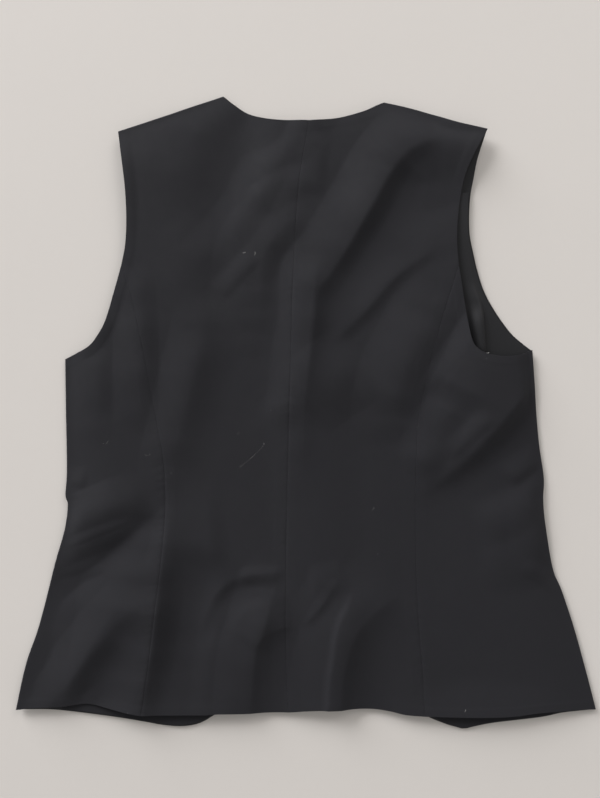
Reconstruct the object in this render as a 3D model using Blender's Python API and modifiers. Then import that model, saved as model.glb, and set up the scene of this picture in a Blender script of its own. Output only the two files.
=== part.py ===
"""A woman's lined suit waistcoat, buttoned and laid face down on its fronts.

The row frame has +X to the right as the back is looked at, +Y towards the neck and +Z up from the surface.
The back is cut in four panels that meet at a centre seam and two armhole princess seams. The two fronts lie
flat under it, lapped at the centre front over five buttons. Where the right armhole gapes, the lining of the
right front shows, and at the two points of the front hem its facings do.

Every cloth panel is made the same way. Four edge lines bound it, a grid is laid between them, each point of
the grid gets its height above the surface, and the sheet is thickened downwards into a wall.
"""

import math
from collections import namedtuple

import bmesh
import bpy
import numpy as np

# ---------------------------------------------------------------- driving dimensions, in millimetres

CHEST_WIDTH = 440.0  # underarm to underarm, laid flat
BACK_LENGTH = 580.0  # neck point to hem
BACK_THICKNESS = 1.3  # suiting and lining
FRONT_THICKNESS = 1.5  # suiting, interlining and lining
LINING_THICKNESS = 1.0
SEAM_GAP = 0.3  # between pieces that are sewn together
LAID_GAP = 0.8  # between a lining or a facing and the front that it lies on

BUTTON_DIAMETER = 15.0
BUTTON_THICKNESS = 1.8
BUTTON_COUNT = 5
TOP_BUTTON_ALONG = 60.0
BUTTON_SPACING = 65.0

LOFT = 3.4  # how far the middle of the back stands above its pinned seams
LOFT_REACH = 22.0  # distance from a seam over which the cloth comes up
FREE_EDGE_SHARE = 0.8  # share of the loft that is left at an edge with nothing sewn under it
FREE_EDGE_REACH = 25.0
FOLD_PIN_REACH = 9.0  # folds die out this close to a pinned seam
FRONT_PRINT = 2.6  # how far the lapped fronts push the back up over the centre front
FRONT_PRINT_REACH = 48.0

SUITING_BLACK = (0.022, 0.022, 0.026)
SUITING_ROUGHNESS = 0.85
LINING_BLACK = (0.020, 0.020, 0.024)
LINING_ROUGHNESS = 0.45
BUTTON_BLACK = (0.015, 0.015, 0.016)
BUTTON_ROUGHNESS = 0.3

# The tables below are drafted for this size, and are graded to the driving dimensions.
DRAFT_CHEST = 440.0
DRAFT_LENGTH = 580.0

METRES = 0.001
SEAM_STACK = FRONT_THICKNESS + SEAM_GAP + BACK_THICKNESS  # top of the back where it is sewn to a front

# ---------------------------------------------------------------- cutting lines, (across, along)

LINES = {
    # The back's free edges and seams.
    "left_shoulder": [(-176.1, 262.2), (-155.0, 269.3), (-128.6, 278.6), (-104.7, 288.0), (-78.2, 297.6)],
    "right_shoulder": [(169.1, 264.2), (141.8, 270.9), (122.6, 277.3), (96.0, 285.2), (73.0, 291.0)],
    "left_neck": [(-78.2, 297.6), (-69.2, 289.9), (-53.2, 280.3), (-29.3, 275.3), (2.2, 274.6)],
    "right_neck": [(73.0, 291.0), (66.0, 288.0), (53.0, 282.2), (28.7, 276.6), (2.2, 274.6)],
    "left_armhole": [(-173.0, 137.2), (-169.4, 156.0), (-168.0, 182.0), (-169.7, 215.4), (-176.1, 262.2)],
    "left_underarm": [(-227.2, 49.2), (-215.1, 55.3), (-204.0, 61.5), (-196.4, 70.2), (-188.5, 84.2),
                      (-180.7, 109.2), (-173.0, 137.2)],
    "right_armhole": [(142.4, 137.2), (141.0, 156.1), (141.3, 174.9), (144.5, 198.2), (151.5, 221.6),
                      (160.4, 241.5), (169.1, 264.2)],
    "right_underarm": [(212.4, 56.0), (199.2, 51.4), (182.3, 51.0), (168.1, 54.4), (159.6, 58.8),
                       (154.2, 66.2), (150.2, 85.7), (142.4, 137.2)],
    "left_side": [(-272.7, -279.6), (-251.8, -201.4), (-237.0, -144.8), (-227.1, -110.5), (-224.3, -87.5),
                  (-226.6, -78.5), (-225.6, -54.9), (-226.6, 3.5), (-227.2, 49.2)],
    "right_side": [(272.5, -280.3), (262.3, -240.8), (251.3, -201.4), (240.2, -168.0), (231.8, -147.0),
                   (224.4, -105.3), (222.6, -82.0), (223.3, -60.9), (218.1, -21.6), (212.4, 56.0)],
    "left_princess": [(-154.0, -285.2), (-145.5, -222.0), (-140.0, -176.4), (-135.0, -130.0),
                      (-132.4, -85.0), (-134.5, -40.0), (-142.7, 2.5), (-151.8, 55.0), (-163.0, 105.0),
                      (-173.0, 137.2)],
    "right_princess": [(110.7, -285.7), (108.8, -245.2), (104.5, -190.0), (102.2, -130.3), (102.0, -60.0),
                       (104.1, -7.8), (112.0, 30.0), (121.0, 69.4), (135.2, 114.6), (142.4, 137.2)],
    "centre_back": [(-17.4, -282.4), (-19.3, -230.0), (-19.3, -135.0), (-16.0, 10.0), (-12.6, 130.0),
                    (-7.0, 215.0), (2.2, 274.6)],
    "left_side_hem": [(-272.7, -279.6), (-252.0, -277.8), (-216.2, -277.2), (-187.0, -280.6),
                      (-164.4, -284.3), (-154.0, -285.2)],
    "left_centre_hem": [(-154.0, -285.2), (-94.7, -285.0), (-50.0, -284.0), (-17.4, -282.4)],
    "right_centre_hem": [(-17.4, -282.4), (11.8, -280.3), (60.0, -280.0), (84.0, -282.4),
                         (110.7, -285.7)],
    "right_side_hem": [(110.7, -285.7), (175.7, -285.7), (226.6, -285.0), (251.0, -283.0),
                       (272.5, -280.3)],
    # The fronts, which lie a little inside the back except where the right armhole gapes.
    "left_front_shoulder": [(-77.0, 295.6), (-104.0, 286.6), (-128.0, 277.2), (-174.6, 260.8)],
    "right_front_shoulder": [(72.6, 289.4), (96.0, 283.8), (122.0, 275.8), (168.4, 262.8)],
    "left_vee": [(14.9, 72.0), (-18.0, 140.0), (-54.0, 226.0), (-77.0, 295.6)],
    "right_vee": [(-15.1, 72.0), (14.0, 140.0), (50.0, 222.0), (72.6, 289.4)],
    "left_front_edge": [(28.2, -229.0), (14.9, 72.0)],
    "right_front_edge": [(-1.8, -229.0), (-15.1, 72.0)],
    "left_front_armhole": [(-226.8, 48.4), (-202.0, 58.0), (-183.0, 80.0), (-169.5, 114.0),
                           (-162.0, 157.0), (-161.0, 195.0), (-165.5, 232.0), (-174.6, 260.8)],
    "right_front_armhole": [(211.9, 55.6), (202.2, 63.1), (191.3, 73.2), (178.8, 92.8), (167.9, 112.3),
                            (161.6, 131.0), (157.2, 149.8), (153.6, 170.0), (154.0, 199.8),
                            (156.2, 220.1), (160.0, 238.0), (168.4, 262.8)],
    "left_front_side": [(-272.1, -279.4), (-251.2, -201.4), (-236.4, -144.8), (-226.5, -110.5),
                        (-223.8, -87.5), (-226.0, -78.5), (-225.0, -54.9), (-226.0, 3.5), (-226.8, 48.4)],
    "right_front_side": [(272.0, -280.3), (261.7, -240.8), (250.7, -201.4), (239.6, -168.0),
                         (231.2, -147.0), (223.8, -105.3), (222.0, -82.0), (222.7, -60.9),
                         (217.5, -21.6), (211.9, 55.6)],
    "left_front_hem": [(28.2, -229.0), (-30.0, -256.5), (-80.0, -282.0), (-97.0, -291.3),
                       (-118.0, -295.2), (-147.4, -292.6), (-187.0, -286.6), (-236.0, -280.8),
                       (-272.1, -279.4)],
    "right_front_hem": [(-1.8, -229.0), (55.0, -257.0), (108.0, -284.4), (130.0, -293.8),
                        (148.4, -297.6), (176.0, -293.2), (220.0, -287.9), (272.0, -280.3)],
    # The lining of the right front, bared by the gaping armhole.
    "lining_outer": [(199.0, 57.0), (189.6, 71.8), (177.0, 91.4), (166.0, 111.6), (159.8, 130.4),
                     (155.4, 149.6), (151.8, 170.0), (152.2, 199.8), (154.2, 219.0)],
    "lining_inner": [(140.0, 36.0), (130.0, 90.0), (126.0, 150.0), (129.0, 195.0), (136.0, 219.0)],
    "lining_lower": [(140.0, 36.0), (170.0, 38.0), (199.0, 57.0)],
    "lining_upper": [(136.0, 219.0), (154.2, 219.0)],
    # The facings at the two points of the front hem.
    "left_facing_outer": [(-230.0, -279.2), (-187.0, -284.9), (-147.2, -290.9), (-118.2, -293.5),
                          (-98.0, -289.8), (-82.0, -281.2)],
    "left_facing_inner": [(-230.0, -262.0), (-187.0, -262.0), (-147.2, -264.0), (-118.2, -266.0),
                          (-98.0, -266.0), (-82.0, -264.0)],
    "right_facing_outer": [(108.0, -282.6), (131.0, -292.3), (148.4, -295.9), (176.0, -291.5),
                           (206.0, -288.0), (232.0, -284.5)],
    "right_facing_inner": [(108.0, -266.0), (131.0, -268.0), (148.4, -269.0), (176.0, -267.0),
                           (206.0, -265.0), (232.0, -263.0)],
}
PINNED = ("left_shoulder", "right_shoulder", "left_side", "right_side")
LYING_FREE = ("left_neck", "right_neck", "left_armhole", "left_underarm", "left_side_hem",
              "left_centre_hem", "right_centre_hem", "right_side_hem")
CENTRE_FRONT_TOP = (-0.1, 72.0)
CENTRE_FRONT_FOOT = (13.2, -229.0)

# ---------------------------------------------------------------- folds and lifted edges

# A fold follows its crest. Its flanks are as wide as the last two columns say, on the left and on the right
# hand of someone who walks the crest from its first point. A negative height is a trough.
Fold = namedtuple("Fold", "name crest height left_hand right_hand")
FOLDS = (
    Fold("shoulder_drag", [(190, 260), (150, 257), (120, 253), (100, 244), (82, 228), (64, 205), (48, 181),
                           (33, 159), (19, 138), (9, 115), (4, 85), (0, 40), (-2, 0)], 6.4, 24, 46),
    Fold("spine_drag", [(20, 140), (9, 115), (5, 90), (2, 60), (-2, 25), (-4, -10), (-3, -60)], 1.6, 14, 30),
    Fold("spine_hollow", [(-28, 130), (-34, 90), (-44, 45), (-56, 5), (-76, -25)], -1.8, 26, 40),
    Fold("loin_right", [(84, 66), (52, 51), (36, 43), (19, 31), (5, 18), (-4, -6)], 2.4, 34, 30),
    Fold("neck_drag", [(16, 284), (-13, 252), (-33, 232), (-48, 212), (-56, 192), (-69, 172), (-83, 152),
                       (-100, 128)], 2.2, 18, 24),
    Fold("yoke_hollow", [(-2, 300), (-31, 267), (-51, 247), (-66, 227), (-74, 207), (-87, 187),
                         (-101, 167), (-122, 140)], -1.9, 24, 50),
    Fold("yoke_rib", [(16, 228), (-14, 218), (-40, 201), (-60, 184)], 1.6, 16, 26),
    Fold("blade_left", [(6, 196), (-14, 180), (-31, 166), (-43, 146), (-46, 122), (-47, 100), (-44, 70)],
         3.2, 15, 34),
    Fold("rib_left", [(-34, 150), (-55, 132), (-72, 117), (-90, 103)], 0.9, 8, 16),
    Fold("blade_right", [(140, 182), (116, 156), (98, 142), (81, 127), (64, 109), (48, 93), (30, 76)],
         1.8, 12, 30),
    Fold("rib_right", [(136, 96), (116, 62), (102, 42), (90, 22), (82, 0), (78, -24)], 3.8, 16, 36),
    Fold("armpit_right", [(180, 74), (152, 50), (134, 34), (120, 16), (108, -6)], 3.2, 40, 18),
    Fold("side_right", [(240, 44), (212, 18), (194, 0), (174, -20), (154, -38), (132, -54), (109, -70),
                        (82, -88)], 6.6, 23, 42),
    Fold("waist_right", [(240, -42), (208, -58), (190, -70), (172, -84)], 1.6, 11, 20),
    Fold("hip_swell", [(250, -90), (226, -124), (192, -137), (140, -138)], 3.0, 16, 60),
    Fold("hip_hollow", [(168, -136), (205, -154), (246, -180)], -1.8, 12, 30),
    Fold("waist_left", [(-156, -84), (-186, -92), (-212, -100), (-248, -108)], 3.0, 15, 34),
    Fold("waist_fan_upper", [(-136, -98), (-175, -113), (-202, -127), (-250, -156)], 3.0, 34, 17),
    Fold("waist_fan", [(-138, -146), (-165, -186), (-192, -212), (-222, -242), (-255, -276),
                       (-290, -312)], 5.8, 24, 50),
    Fold("princess_left", [(-134, -92), (-138, -150), (-145, -205), (-151, -235), (-159, -270),
                           (-172, -330)], 5.6, 34, 32),
    Fold("waist_ledge", [(-46, -114), (-95, -120), (-146, -122)], 2.0, 40, 60),
    Fold("hem_left", [(-10, -120), (-28, -168), (-41, -203), (-49, -235), (-56, -270), (-66, -330)],
         4.4, 30, 28),
    Fold("hem_arch", [(-4, -144), (-38, -151), (-60, -163), (-75, -185), (-86, -220)], 1.3, 10, 16),
    Fold("hem_centre", [(34, -146), (30, -185), (27, -215), (23, -250), (16, -330)], 4.2, 34, 11),
    Fold("hem_centre_top", [(92, -172), (64, -184), (48, -204), (42, -236)], 1.8, 18, 22),
    Fold("hem_centre_small", [(30, -150), (16, -174), (-4, -198)], 1.4, 9, 14),
    Fold("chest_left", [(-166, 130), (-157, 90), (-154, 50), (-152, 10), (-148, -30)], 2.2, 14, 27),
    Fold("flank_left", [(-112, 80), (-109, 35), (-112, 0), (-120, -40)], 2.0, 44, 24),
    Fold("armhole_hollow", [(-168, 140), (-179, 92), (-187, 64), (-200, 40)], -1.0, 12, 12),
)
CREST_FADE = 0.22  # share of a crest's length over which it rises from nothing at either end
CREST_STEPS = 48

# Where both layers stand off the surface together.
Lift = namedtuple("Lift", "name across along half_width half_length height")
LIFTS = (
    Lift("right_shoulder_edge", 172.0, 226.0, 60.0, 88.0, 6.5),
    Lift("left_hem", -213.0, -296.0, 62.0, 62.0, 4.5),
    Lift("right_hem", 222.0, -296.0, 66.0, 58.0, 4.0),
)
BACK_LIFT_SHARE = 1.04  # the upper layer takes the longer way round

# Where the bared lining of the right front rolls up, beside its deep hollow.
LINING_ROLL = Fold("lining_roll", [(150.0, 230.0), (156.0, 190.0), (157.0, 140.0), (160.5, 100.0),
                                   (164.0, 66.0), (165.0, 20.0)], 2.6, 7.0, 16.0)

# ---------------------------------------------------------------- grids, in cells

Cells = namedtuple("Cells", "columns rows")
BACK_CENTRE_CELLS = Cells((10, 7), (37, 11))
BACK_SIDE_CELLS = Cells((11,), (37,))
FRONT_CELLS = Cells((13,), (18, 12))
LINING_CELLS = Cells((7,), (18,))
FACING_CELLS = Cells((14,), (3,))
LINE_STEP = 1.0  # spacing of a line's points
MEASURE_EVERY = 6  # every how many of them distances are measured with


# ---------------------------------------------------------------- lines

def smooth_line(points):
    """A curve through the points, as a close row of points (Catmull-Rom)."""
    knots = np.array(points, float)
    padded = np.vstack([2 * knots[0] - knots[1], knots, 2 * knots[-1] - knots[-2]])
    pieces = []
    for a, b, c, d in zip(padded, padded[1:], padded[2:], padded[3:]):
        count = max(2, math.ceil(np.linalg.norm(c - b) / LINE_STEP))
        t = np.linspace(0, 1, count, endpoint=False)[:, None]
        pieces.append(0.5 * (2 * b + (c - a) * t + (2 * a - 5 * b + 4 * c - d) * t**2
                             + (3 * b - a - 3 * c + d) * t**3))
    return np.vstack([*pieces, knots[-1:]])


def along(line, shares):
    """The points at these shares of the line's length."""
    steps = np.linalg.norm(np.diff(line, axis=0), axis=1)
    length = np.concatenate([[0], np.cumsum(steps)])
    wanted = np.asarray(shares) * length[-1]
    return np.stack([np.interp(wanted, length, line[:, k]) for k in (0, 1)], axis=1)


def graded(point_rows):
    """Draft points brought to the driving dimensions."""
    return np.array(point_rows, float) * (CHEST_WIDTH / DRAFT_CHEST, BACK_LENGTH / DRAFT_LENGTH)


def cutting_line(name):
    return smooth_line(graded(LINES[name]))


def edge(names, cells, shift=0.0):
    """One edge of a panel: a point for each grid line, with a point on every corner between two lines.

    shift moves the edge across, away from the seam that it shares with its neighbour.
    """
    lines = [cutting_line(name) for name in names]
    counts = cells if len(lines) > 1 else (sum(cells),)
    points = [lines[0][:1]]
    for line, count in zip(lines, counts):
        points.append(along(line, np.arange(1, count + 1) / count))
    return np.vstack(points) + (shift, 0)


def between_edges(lower, upper, left, right):
    """The grid of points that fills four edges (a Coons patch), as rows of points from lower to upper."""
    u = np.linspace(0, 1, len(lower))[None, :, None]
    v = np.linspace(0, 1, len(left))[:, None, None]
    ruled = (1 - v) * lower[None] + v * upper[None] + (1 - u) * left[:, None] + u * right[:, None]
    corners = ((1 - u) * (1 - v) * lower[0] + u * (1 - v) * lower[-1]
               + (1 - u) * v * upper[0] + u * v * upper[-1])
    return ruled - corners


# ---------------------------------------------------------------- heights

def smooth_step(share):
    share = np.clip(share, 0, 1)
    return share * share * (3 - 2 * share)


def hump(share):
    """1 in the middle, and nothing from a share of 1 outwards."""
    return np.clip(1 - share * share, 0, None) ** 2


def nearest_on(line, points):
    """For each point, its distance to the line (positive on the line's left hand) and how far along that is.

    How far along is a share of the line's length.
    """
    starts, ways = line[:-1], np.diff(line, axis=0)
    lengths = np.linalg.norm(ways, axis=1)
    offsets = points[:, None] - starts[None]
    shares = np.clip((offsets * ways).sum(2) / lengths**2, 0, 1)
    gaps = offsets - shares[..., None] * ways
    distances = np.linalg.norm(gaps, axis=2)
    best = distances.argmin(axis=1)
    rows = np.arange(len(points))
    side = np.sign(ways[best, 0] * offsets[rows, best, 1] - ways[best, 1] * offsets[rows, best, 0])
    walked = np.concatenate([[0], np.cumsum(lengths)])
    share = (walked[best] + shares[rows, best] * lengths[best]) / walked[-1]
    return distances[rows, best] * np.where(side < 0, -1, 1), share


def fold_height(fold, points):
    """What one fold adds at each point."""
    crest = along(smooth_line(graded(fold.crest)), np.linspace(0, 1, CREST_STEPS + 1))
    distance, share = nearest_on(crest, points)
    flank = np.where(distance > 0, fold.left_hand, fold.right_hand)
    fade = smooth_step(share / CREST_FADE) * smooth_step((1 - share) / CREST_FADE)
    return fold.height * fade * hump(distance / flank)


def lift_height(points):
    """How far both layers stand off the surface."""
    total = np.zeros(len(points))
    for lift in LIFTS:
        middle = graded([(lift.across, lift.along)])[0]
        shares = (points - middle) / (lift.half_width, lift.half_length)
        total += lift.height * hump(np.linalg.norm(shares, axis=1))
    return total


def distance_to(names, points):
    """The distance to the nearest of some cutting lines."""
    lines = [cutting_line(name)[::MEASURE_EVERY] for name in names]
    return np.min([np.abs(nearest_on(line, points)[0]) for line in lines], axis=0)


def from_centre_front(points):
    """How far each point lies to the right of the centre front line."""
    (top_across, top_along), (foot_across, foot_along) = graded([CENTRE_FRONT_TOP, CENTRE_FRONT_FOOT])
    lean = (foot_across - top_across) / (foot_along - top_along)
    return points[:, 0] - top_across - (points[:, 1] - top_along) * lean


def back_top(points):
    """Height of the back's outer face."""
    from_seam = distance_to(PINNED, points)
    from_edge = distance_to(LYING_FREE, points)
    loft = LOFT * (1 - np.exp(-from_seam / LOFT_REACH))
    loft *= 1 - (1 - FREE_EDGE_SHARE) * np.exp(-from_edge / FREE_EDGE_REACH)
    pinned = 1 - np.exp(-((from_seam / FOLD_PIN_REACH) ** 2))
    folds = sum(fold_height(fold, points) for fold in FOLDS)
    printed = FRONT_PRINT * hump(from_centre_front(points) / FRONT_PRINT_REACH)
    return SEAM_STACK + loft + pinned * (folds + printed) + BACK_LIFT_SHARE * lift_height(points)


BUTTON_LIFT = BUTTON_THICKNESS + SEAM_GAP
BUTTON_LIFT_FLAT = 10.0  # how far beside the centre front the cloth stays level over the buttons
BUTTON_LIFT_FOOT = 30.0  # and where it has come down to the surface
UNDERLAP_FLAT = 14.0  # the same for the left front, where it steps up over the right one
UNDERLAP_FOOT = 52.0


def right_front_top(points):
    """The right front is the outer one. It lies on the surface, and on the buttons at the centre front."""
    beside = np.abs(from_centre_front(points))
    over_buttons = smooth_step((BUTTON_LIFT_FOOT - beside) / (BUTTON_LIFT_FOOT - BUTTON_LIFT_FLAT))
    return FRONT_THICKNESS + BUTTON_LIFT * over_buttons + lift_height(points)


def left_front_top(points):
    """The left front lies on the surface too, and steps up over the edge of the right one."""
    beside = from_centre_front(points)
    climb = smooth_step((beside + UNDERLAP_FOOT) / (UNDERLAP_FOOT - UNDERLAP_FLAT))
    descent = 1 - smooth_step((beside - BUTTON_LIFT_FLAT) / (BUTTON_LIFT_FOOT - BUTTON_LIFT_FLAT))
    stack = FRONT_THICKNESS + SEAM_GAP
    return FRONT_THICKNESS + climb * (stack + BUTTON_LIFT * descent) + lift_height(points)


def lining_top(points):
    """The lining lies on the right front and rolls up beside its hollow."""
    flat = right_front_top(points) + LAID_GAP + LINING_THICKNESS
    return flat + fold_height(LINING_ROLL, points)


def left_facing_top(points):
    return left_front_top(points) + LAID_GAP + LINING_THICKNESS


def right_facing_top(points):
    return right_front_top(points) + LAID_GAP + LINING_THICKNESS


# ---------------------------------------------------------------- pieces

def clear_scene():
    for obj in list(bpy.data.objects):
        bpy.data.objects.remove(obj)


def make_collection(name):
    collection = bpy.data.collections.new(name)
    bpy.context.scene.collection.children.link(collection)
    return collection


def make_material(name, colour, roughness):
    material = bpy.data.materials.new(name)
    material.use_nodes = True
    shader = material.node_tree.nodes["Principled BSDF"]
    shader.inputs["Base Color"].default_value = (*colour, 1.0)
    shader.inputs["Roughness"].default_value = roughness
    shader.inputs["Metallic"].default_value = 0.0
    return material


def cloth_wall(collection, name, grid, top_of, thickness, material):
    """A sheet laid over the grid at the height that top_of gives, thickened downwards into a closed wall."""
    rows, columns = grid.shape[:2]
    plan = grid.reshape(-1, 2)
    tops = np.column_stack([plan, top_of(plan)]) * METRES
    sheet = bmesh.new()
    bmesh.ops.create_grid(sheet, x_segments=columns - 1, y_segments=rows - 1, size=0.5)
    for vertex in sheet.verts:
        column = round((vertex.co.x + 0.5) * (columns - 1))
        row = round((vertex.co.y + 0.5) * (rows - 1))
        vertex.co = tops[row * columns + column]
    under = bmesh.ops.extrude_face_region(sheet, geom=sheet.faces[:])["geom"]
    corners = [part for part in under if isinstance(part, bmesh.types.BMVert)]
    bmesh.ops.translate(sheet, verts=corners, vec=(0, 0, -thickness * METRES))
    bmesh.ops.recalc_face_normals(sheet, faces=sheet.faces)
    mesh = bpy.data.meshes.new(name)
    sheet.to_mesh(mesh)
    sheet.free()
    mesh.materials.append(material)
    wall = bpy.data.objects.new(name, mesh)
    collection.objects.link(wall)
    return wall


def make_back(collection, suiting):
    """The four back panels, kept half a seam gap off every seam between them."""
    away = SEAM_GAP / 2
    for side, inner_shift in (("left", -away), ("right", away)):
        cells = BACK_CENTRE_CELLS
        armhole = edge((f"{side}_princess", f"{side}_armhole"), cells.rows, -inner_shift)
        spine = edge(("centre_back",), cells.rows, inner_shift)
        neckline = edge((f"{side}_shoulder", f"{side}_neck"), cells.columns)
        hem = edge((f"{side}_centre_hem",), cells.columns)
        if side == "right":
            hem = hem[::-1]  # every edge of the panel now starts at the princess seam
        neckline[0], neckline[-1] = armhole[-1], spine[-1]
        hem[0], hem[-1] = armhole[0], spine[0]
        grid = between_edges(hem, neckline, armhole, spine)
        cloth_wall(collection, f"back_centre_{side}", grid, back_top, BACK_THICKNESS, suiting)

        cells = BACK_SIDE_CELLS
        outer = edge((f"{side}_side",), cells.rows)
        inner = edge((f"{side}_princess",), cells.rows, inner_shift)
        underarm = edge((f"{side}_underarm",), cells.columns)
        hem = edge((f"{side}_side_hem",), cells.columns)
        if side == "right":
            hem = hem[::-1]
        underarm[-1], hem[-1] = inner[-1], inner[0]
        grid = between_edges(hem, underarm, outer, inner)
        cloth_wall(collection, f"back_side_{side}", grid, back_top, BACK_THICKNESS, suiting)


def make_fronts(collection, suiting):
    """The two fronts, from their free edges to their side seams."""
    for side, top_of in (("left", left_front_top), ("right", right_front_top)):
        cells = FRONT_CELLS
        hem = edge((f"{side}_front_hem",), cells.columns)
        shoulder = edge((f"{side}_front_shoulder",), cells.columns)
        free_edge = edge((f"{side}_front_edge", f"{side}_vee"), cells.rows)
        outer = edge((f"{side}_front_side", f"{side}_front_armhole"), cells.rows)
        grid = between_edges(hem, shoulder, free_edge, outer)
        cloth_wall(collection, f"front_{side}", grid, top_of, FRONT_THICKNESS, suiting)


def make_inside(collection, suiting, lining):
    """The bared lining and the two facings, which lie on the insides of the fronts."""
    cells = LINING_CELLS
    grid = between_edges(edge(("lining_lower",), cells.columns), edge(("lining_upper",), cells.columns),
                         edge(("lining_inner",), cells.rows), edge(("lining_outer",), cells.rows))
    cloth_wall(collection, "front_lining_right", grid, lining_top, LINING_THICKNESS, lining)
    for side, top_of in (("left", left_facing_top), ("right", right_facing_top)):
        outer = edge((f"{side}_facing_outer",), FACING_CELLS.columns)
        inner = edge((f"{side}_facing_inner",), FACING_CELLS.columns)
        shares = np.linspace(0, 1, FACING_CELLS.rows[0] + 1)[:, None]
        start = outer[0] + shares * (inner[0] - outer[0])
        end = outer[-1] + shares * (inner[-1] - outer[-1])
        grid = between_edges(outer, inner, start, end)
        cloth_wall(collection, f"front_facing_{side}", grid, top_of, LINING_THICKNESS, suiting)


# ---------------------------------------------------------------- buttons

BUTTON_SIDES = 20
BUTTON_CHAMFER = 0.6
BUTTON_RIM = 2.0
BUTTON_DISH = 0.6
THREAD_HOLES = 4
THREAD_HOLE_RADIUS = 0.9
THREAD_HOLE_RING = 2.2
THREAD_HOLE_SIDES = 8


def button_profile():
    """(radius, height) from the middle of the sewn face, round the edge, to that of the dished face."""
    radius = BUTTON_DIAMETER / 2
    dish = radius - BUTTON_RIM
    return ((0, BUTTON_THICKNESS), (radius - BUTTON_CHAMFER, BUTTON_THICKNESS),
            (radius, BUTTON_THICKNESS - BUTTON_CHAMFER), (radius, BUTTON_CHAMFER),
            (radius - BUTTON_CHAMFER, 0), (dish + BUTTON_DISH, 0), (dish, BUTTON_DISH), (0, BUTTON_DISH))


def make_button_blank(cutters):
    """One button: a turned disc with a dished face and four thread holes."""
    turned = bmesh.new()
    corners = [turned.verts.new((radius * METRES, 0, up * METRES)) for radius, up in button_profile()]
    for start, end in zip(corners, corners[1:]):
        turned.edges.new((start, end))
    mesh = bpy.data.meshes.new("button_profile")
    turned.to_mesh(mesh)
    turned.free()
    blank = bpy.data.objects.new("button_blank", mesh)
    blank.hide_render = True
    blank.display_type = "WIRE"
    cutters.objects.link(blank)
    screw = blank.modifiers.new("turn", "SCREW")
    screw.steps = screw.render_steps = BUTTON_SIDES
    screw.use_merge_vertices = True
    screw.merge_threshold = 0.01 * METRES
    cut = blank.modifiers.new("thread_holes", "BOOLEAN")
    cut.operation = "DIFFERENCE"
    cut.object = make_thread_drills(cutters)
    return blank


def make_thread_drills(cutters):
    """The four round bars that cut a button's thread holes."""
    drills = bmesh.new()
    for turn in range(THREAD_HOLES):
        angle = math.tau * (turn + 0.5) / THREAD_HOLES
        made = bmesh.ops.create_cone(drills, cap_ends=True, segments=THREAD_HOLE_SIDES,
                                     radius1=THREAD_HOLE_RADIUS * METRES,
                                     radius2=THREAD_HOLE_RADIUS * METRES,
                                     depth=3 * BUTTON_THICKNESS * METRES)
        place = np.array((math.cos(angle), math.sin(angle), 0)) * THREAD_HOLE_RING * METRES
        bmesh.ops.translate(drills, verts=made["verts"], vec=place)
    mesh = bpy.data.meshes.new("thread_drills")
    drills.to_mesh(mesh)
    drills.free()
    drill = bpy.data.objects.new("thread_drills", mesh)
    drill.hide_render = True
    drill.display_type = "WIRE"
    cutters.objects.link(drill)
    return drill


def make_buttons(collection, cutters, horn):
    """Five buttons on the centre front line, face down on the surface under the right front."""
    blank = make_button_blank(cutters)
    bpy.context.view_layer.update()
    mesh = bpy.data.meshes.new_from_object(blank.evaluated_get(bpy.context.evaluated_depsgraph_get()))
    mesh.name = "button"
    mesh.materials.clear()
    mesh.materials.append(horn)
    top, foot = np.array(CENTRE_FRONT_TOP), np.array(CENTRE_FRONT_FOOT)
    for number in range(BUTTON_COUNT):
        down = (top[1] - TOP_BUTTON_ALONG + number * BUTTON_SPACING) / (top[1] - foot[1])
        across, place_along = graded([top + down * (foot - top)])[0]
        button = bpy.data.objects.new(f"button_{number + 1}", mesh)
        button.location = (across * METRES, place_along * METRES, 0)
        collection.objects.link(button)


def main():
    clear_scene()
    collection = make_collection("suit_waistcoat")
    cutters = make_collection("cutters")
    suiting = make_material("suiting", SUITING_BLACK, SUITING_ROUGHNESS)
    lining = make_material("lining", LINING_BLACK, LINING_ROUGHNESS)
    horn = make_material("button", BUTTON_BLACK, BUTTON_ROUGHNESS)
    make_back(collection, suiting)
    make_fronts(collection, suiting)
    make_inside(collection, suiting, lining)
    make_buttons(collection, cutters, horn)


main()
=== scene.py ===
"""The looks of a woman's black suit waistcoat that lies face down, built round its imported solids.

Lengths in the tables are millimetres in the garment's own frame: across runs to the right as the back is
looked at, along runs from hem to neck, and up is the height over the surface that the waistcoat lies on.

Each cloth panel is a grid laid between its cutting lines. The layers of the garment say how high it lies,
its edges are rounded as they are sewn, and its wall is closed underneath. Small things are laid on it last.
"""

import logging
import math
from abc import ABC, abstractmethod
from collections.abc import Callable, Iterable, Sequence
from dataclasses import dataclass, field
from enum import Enum
from functools import cache
from typing import Any

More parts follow.
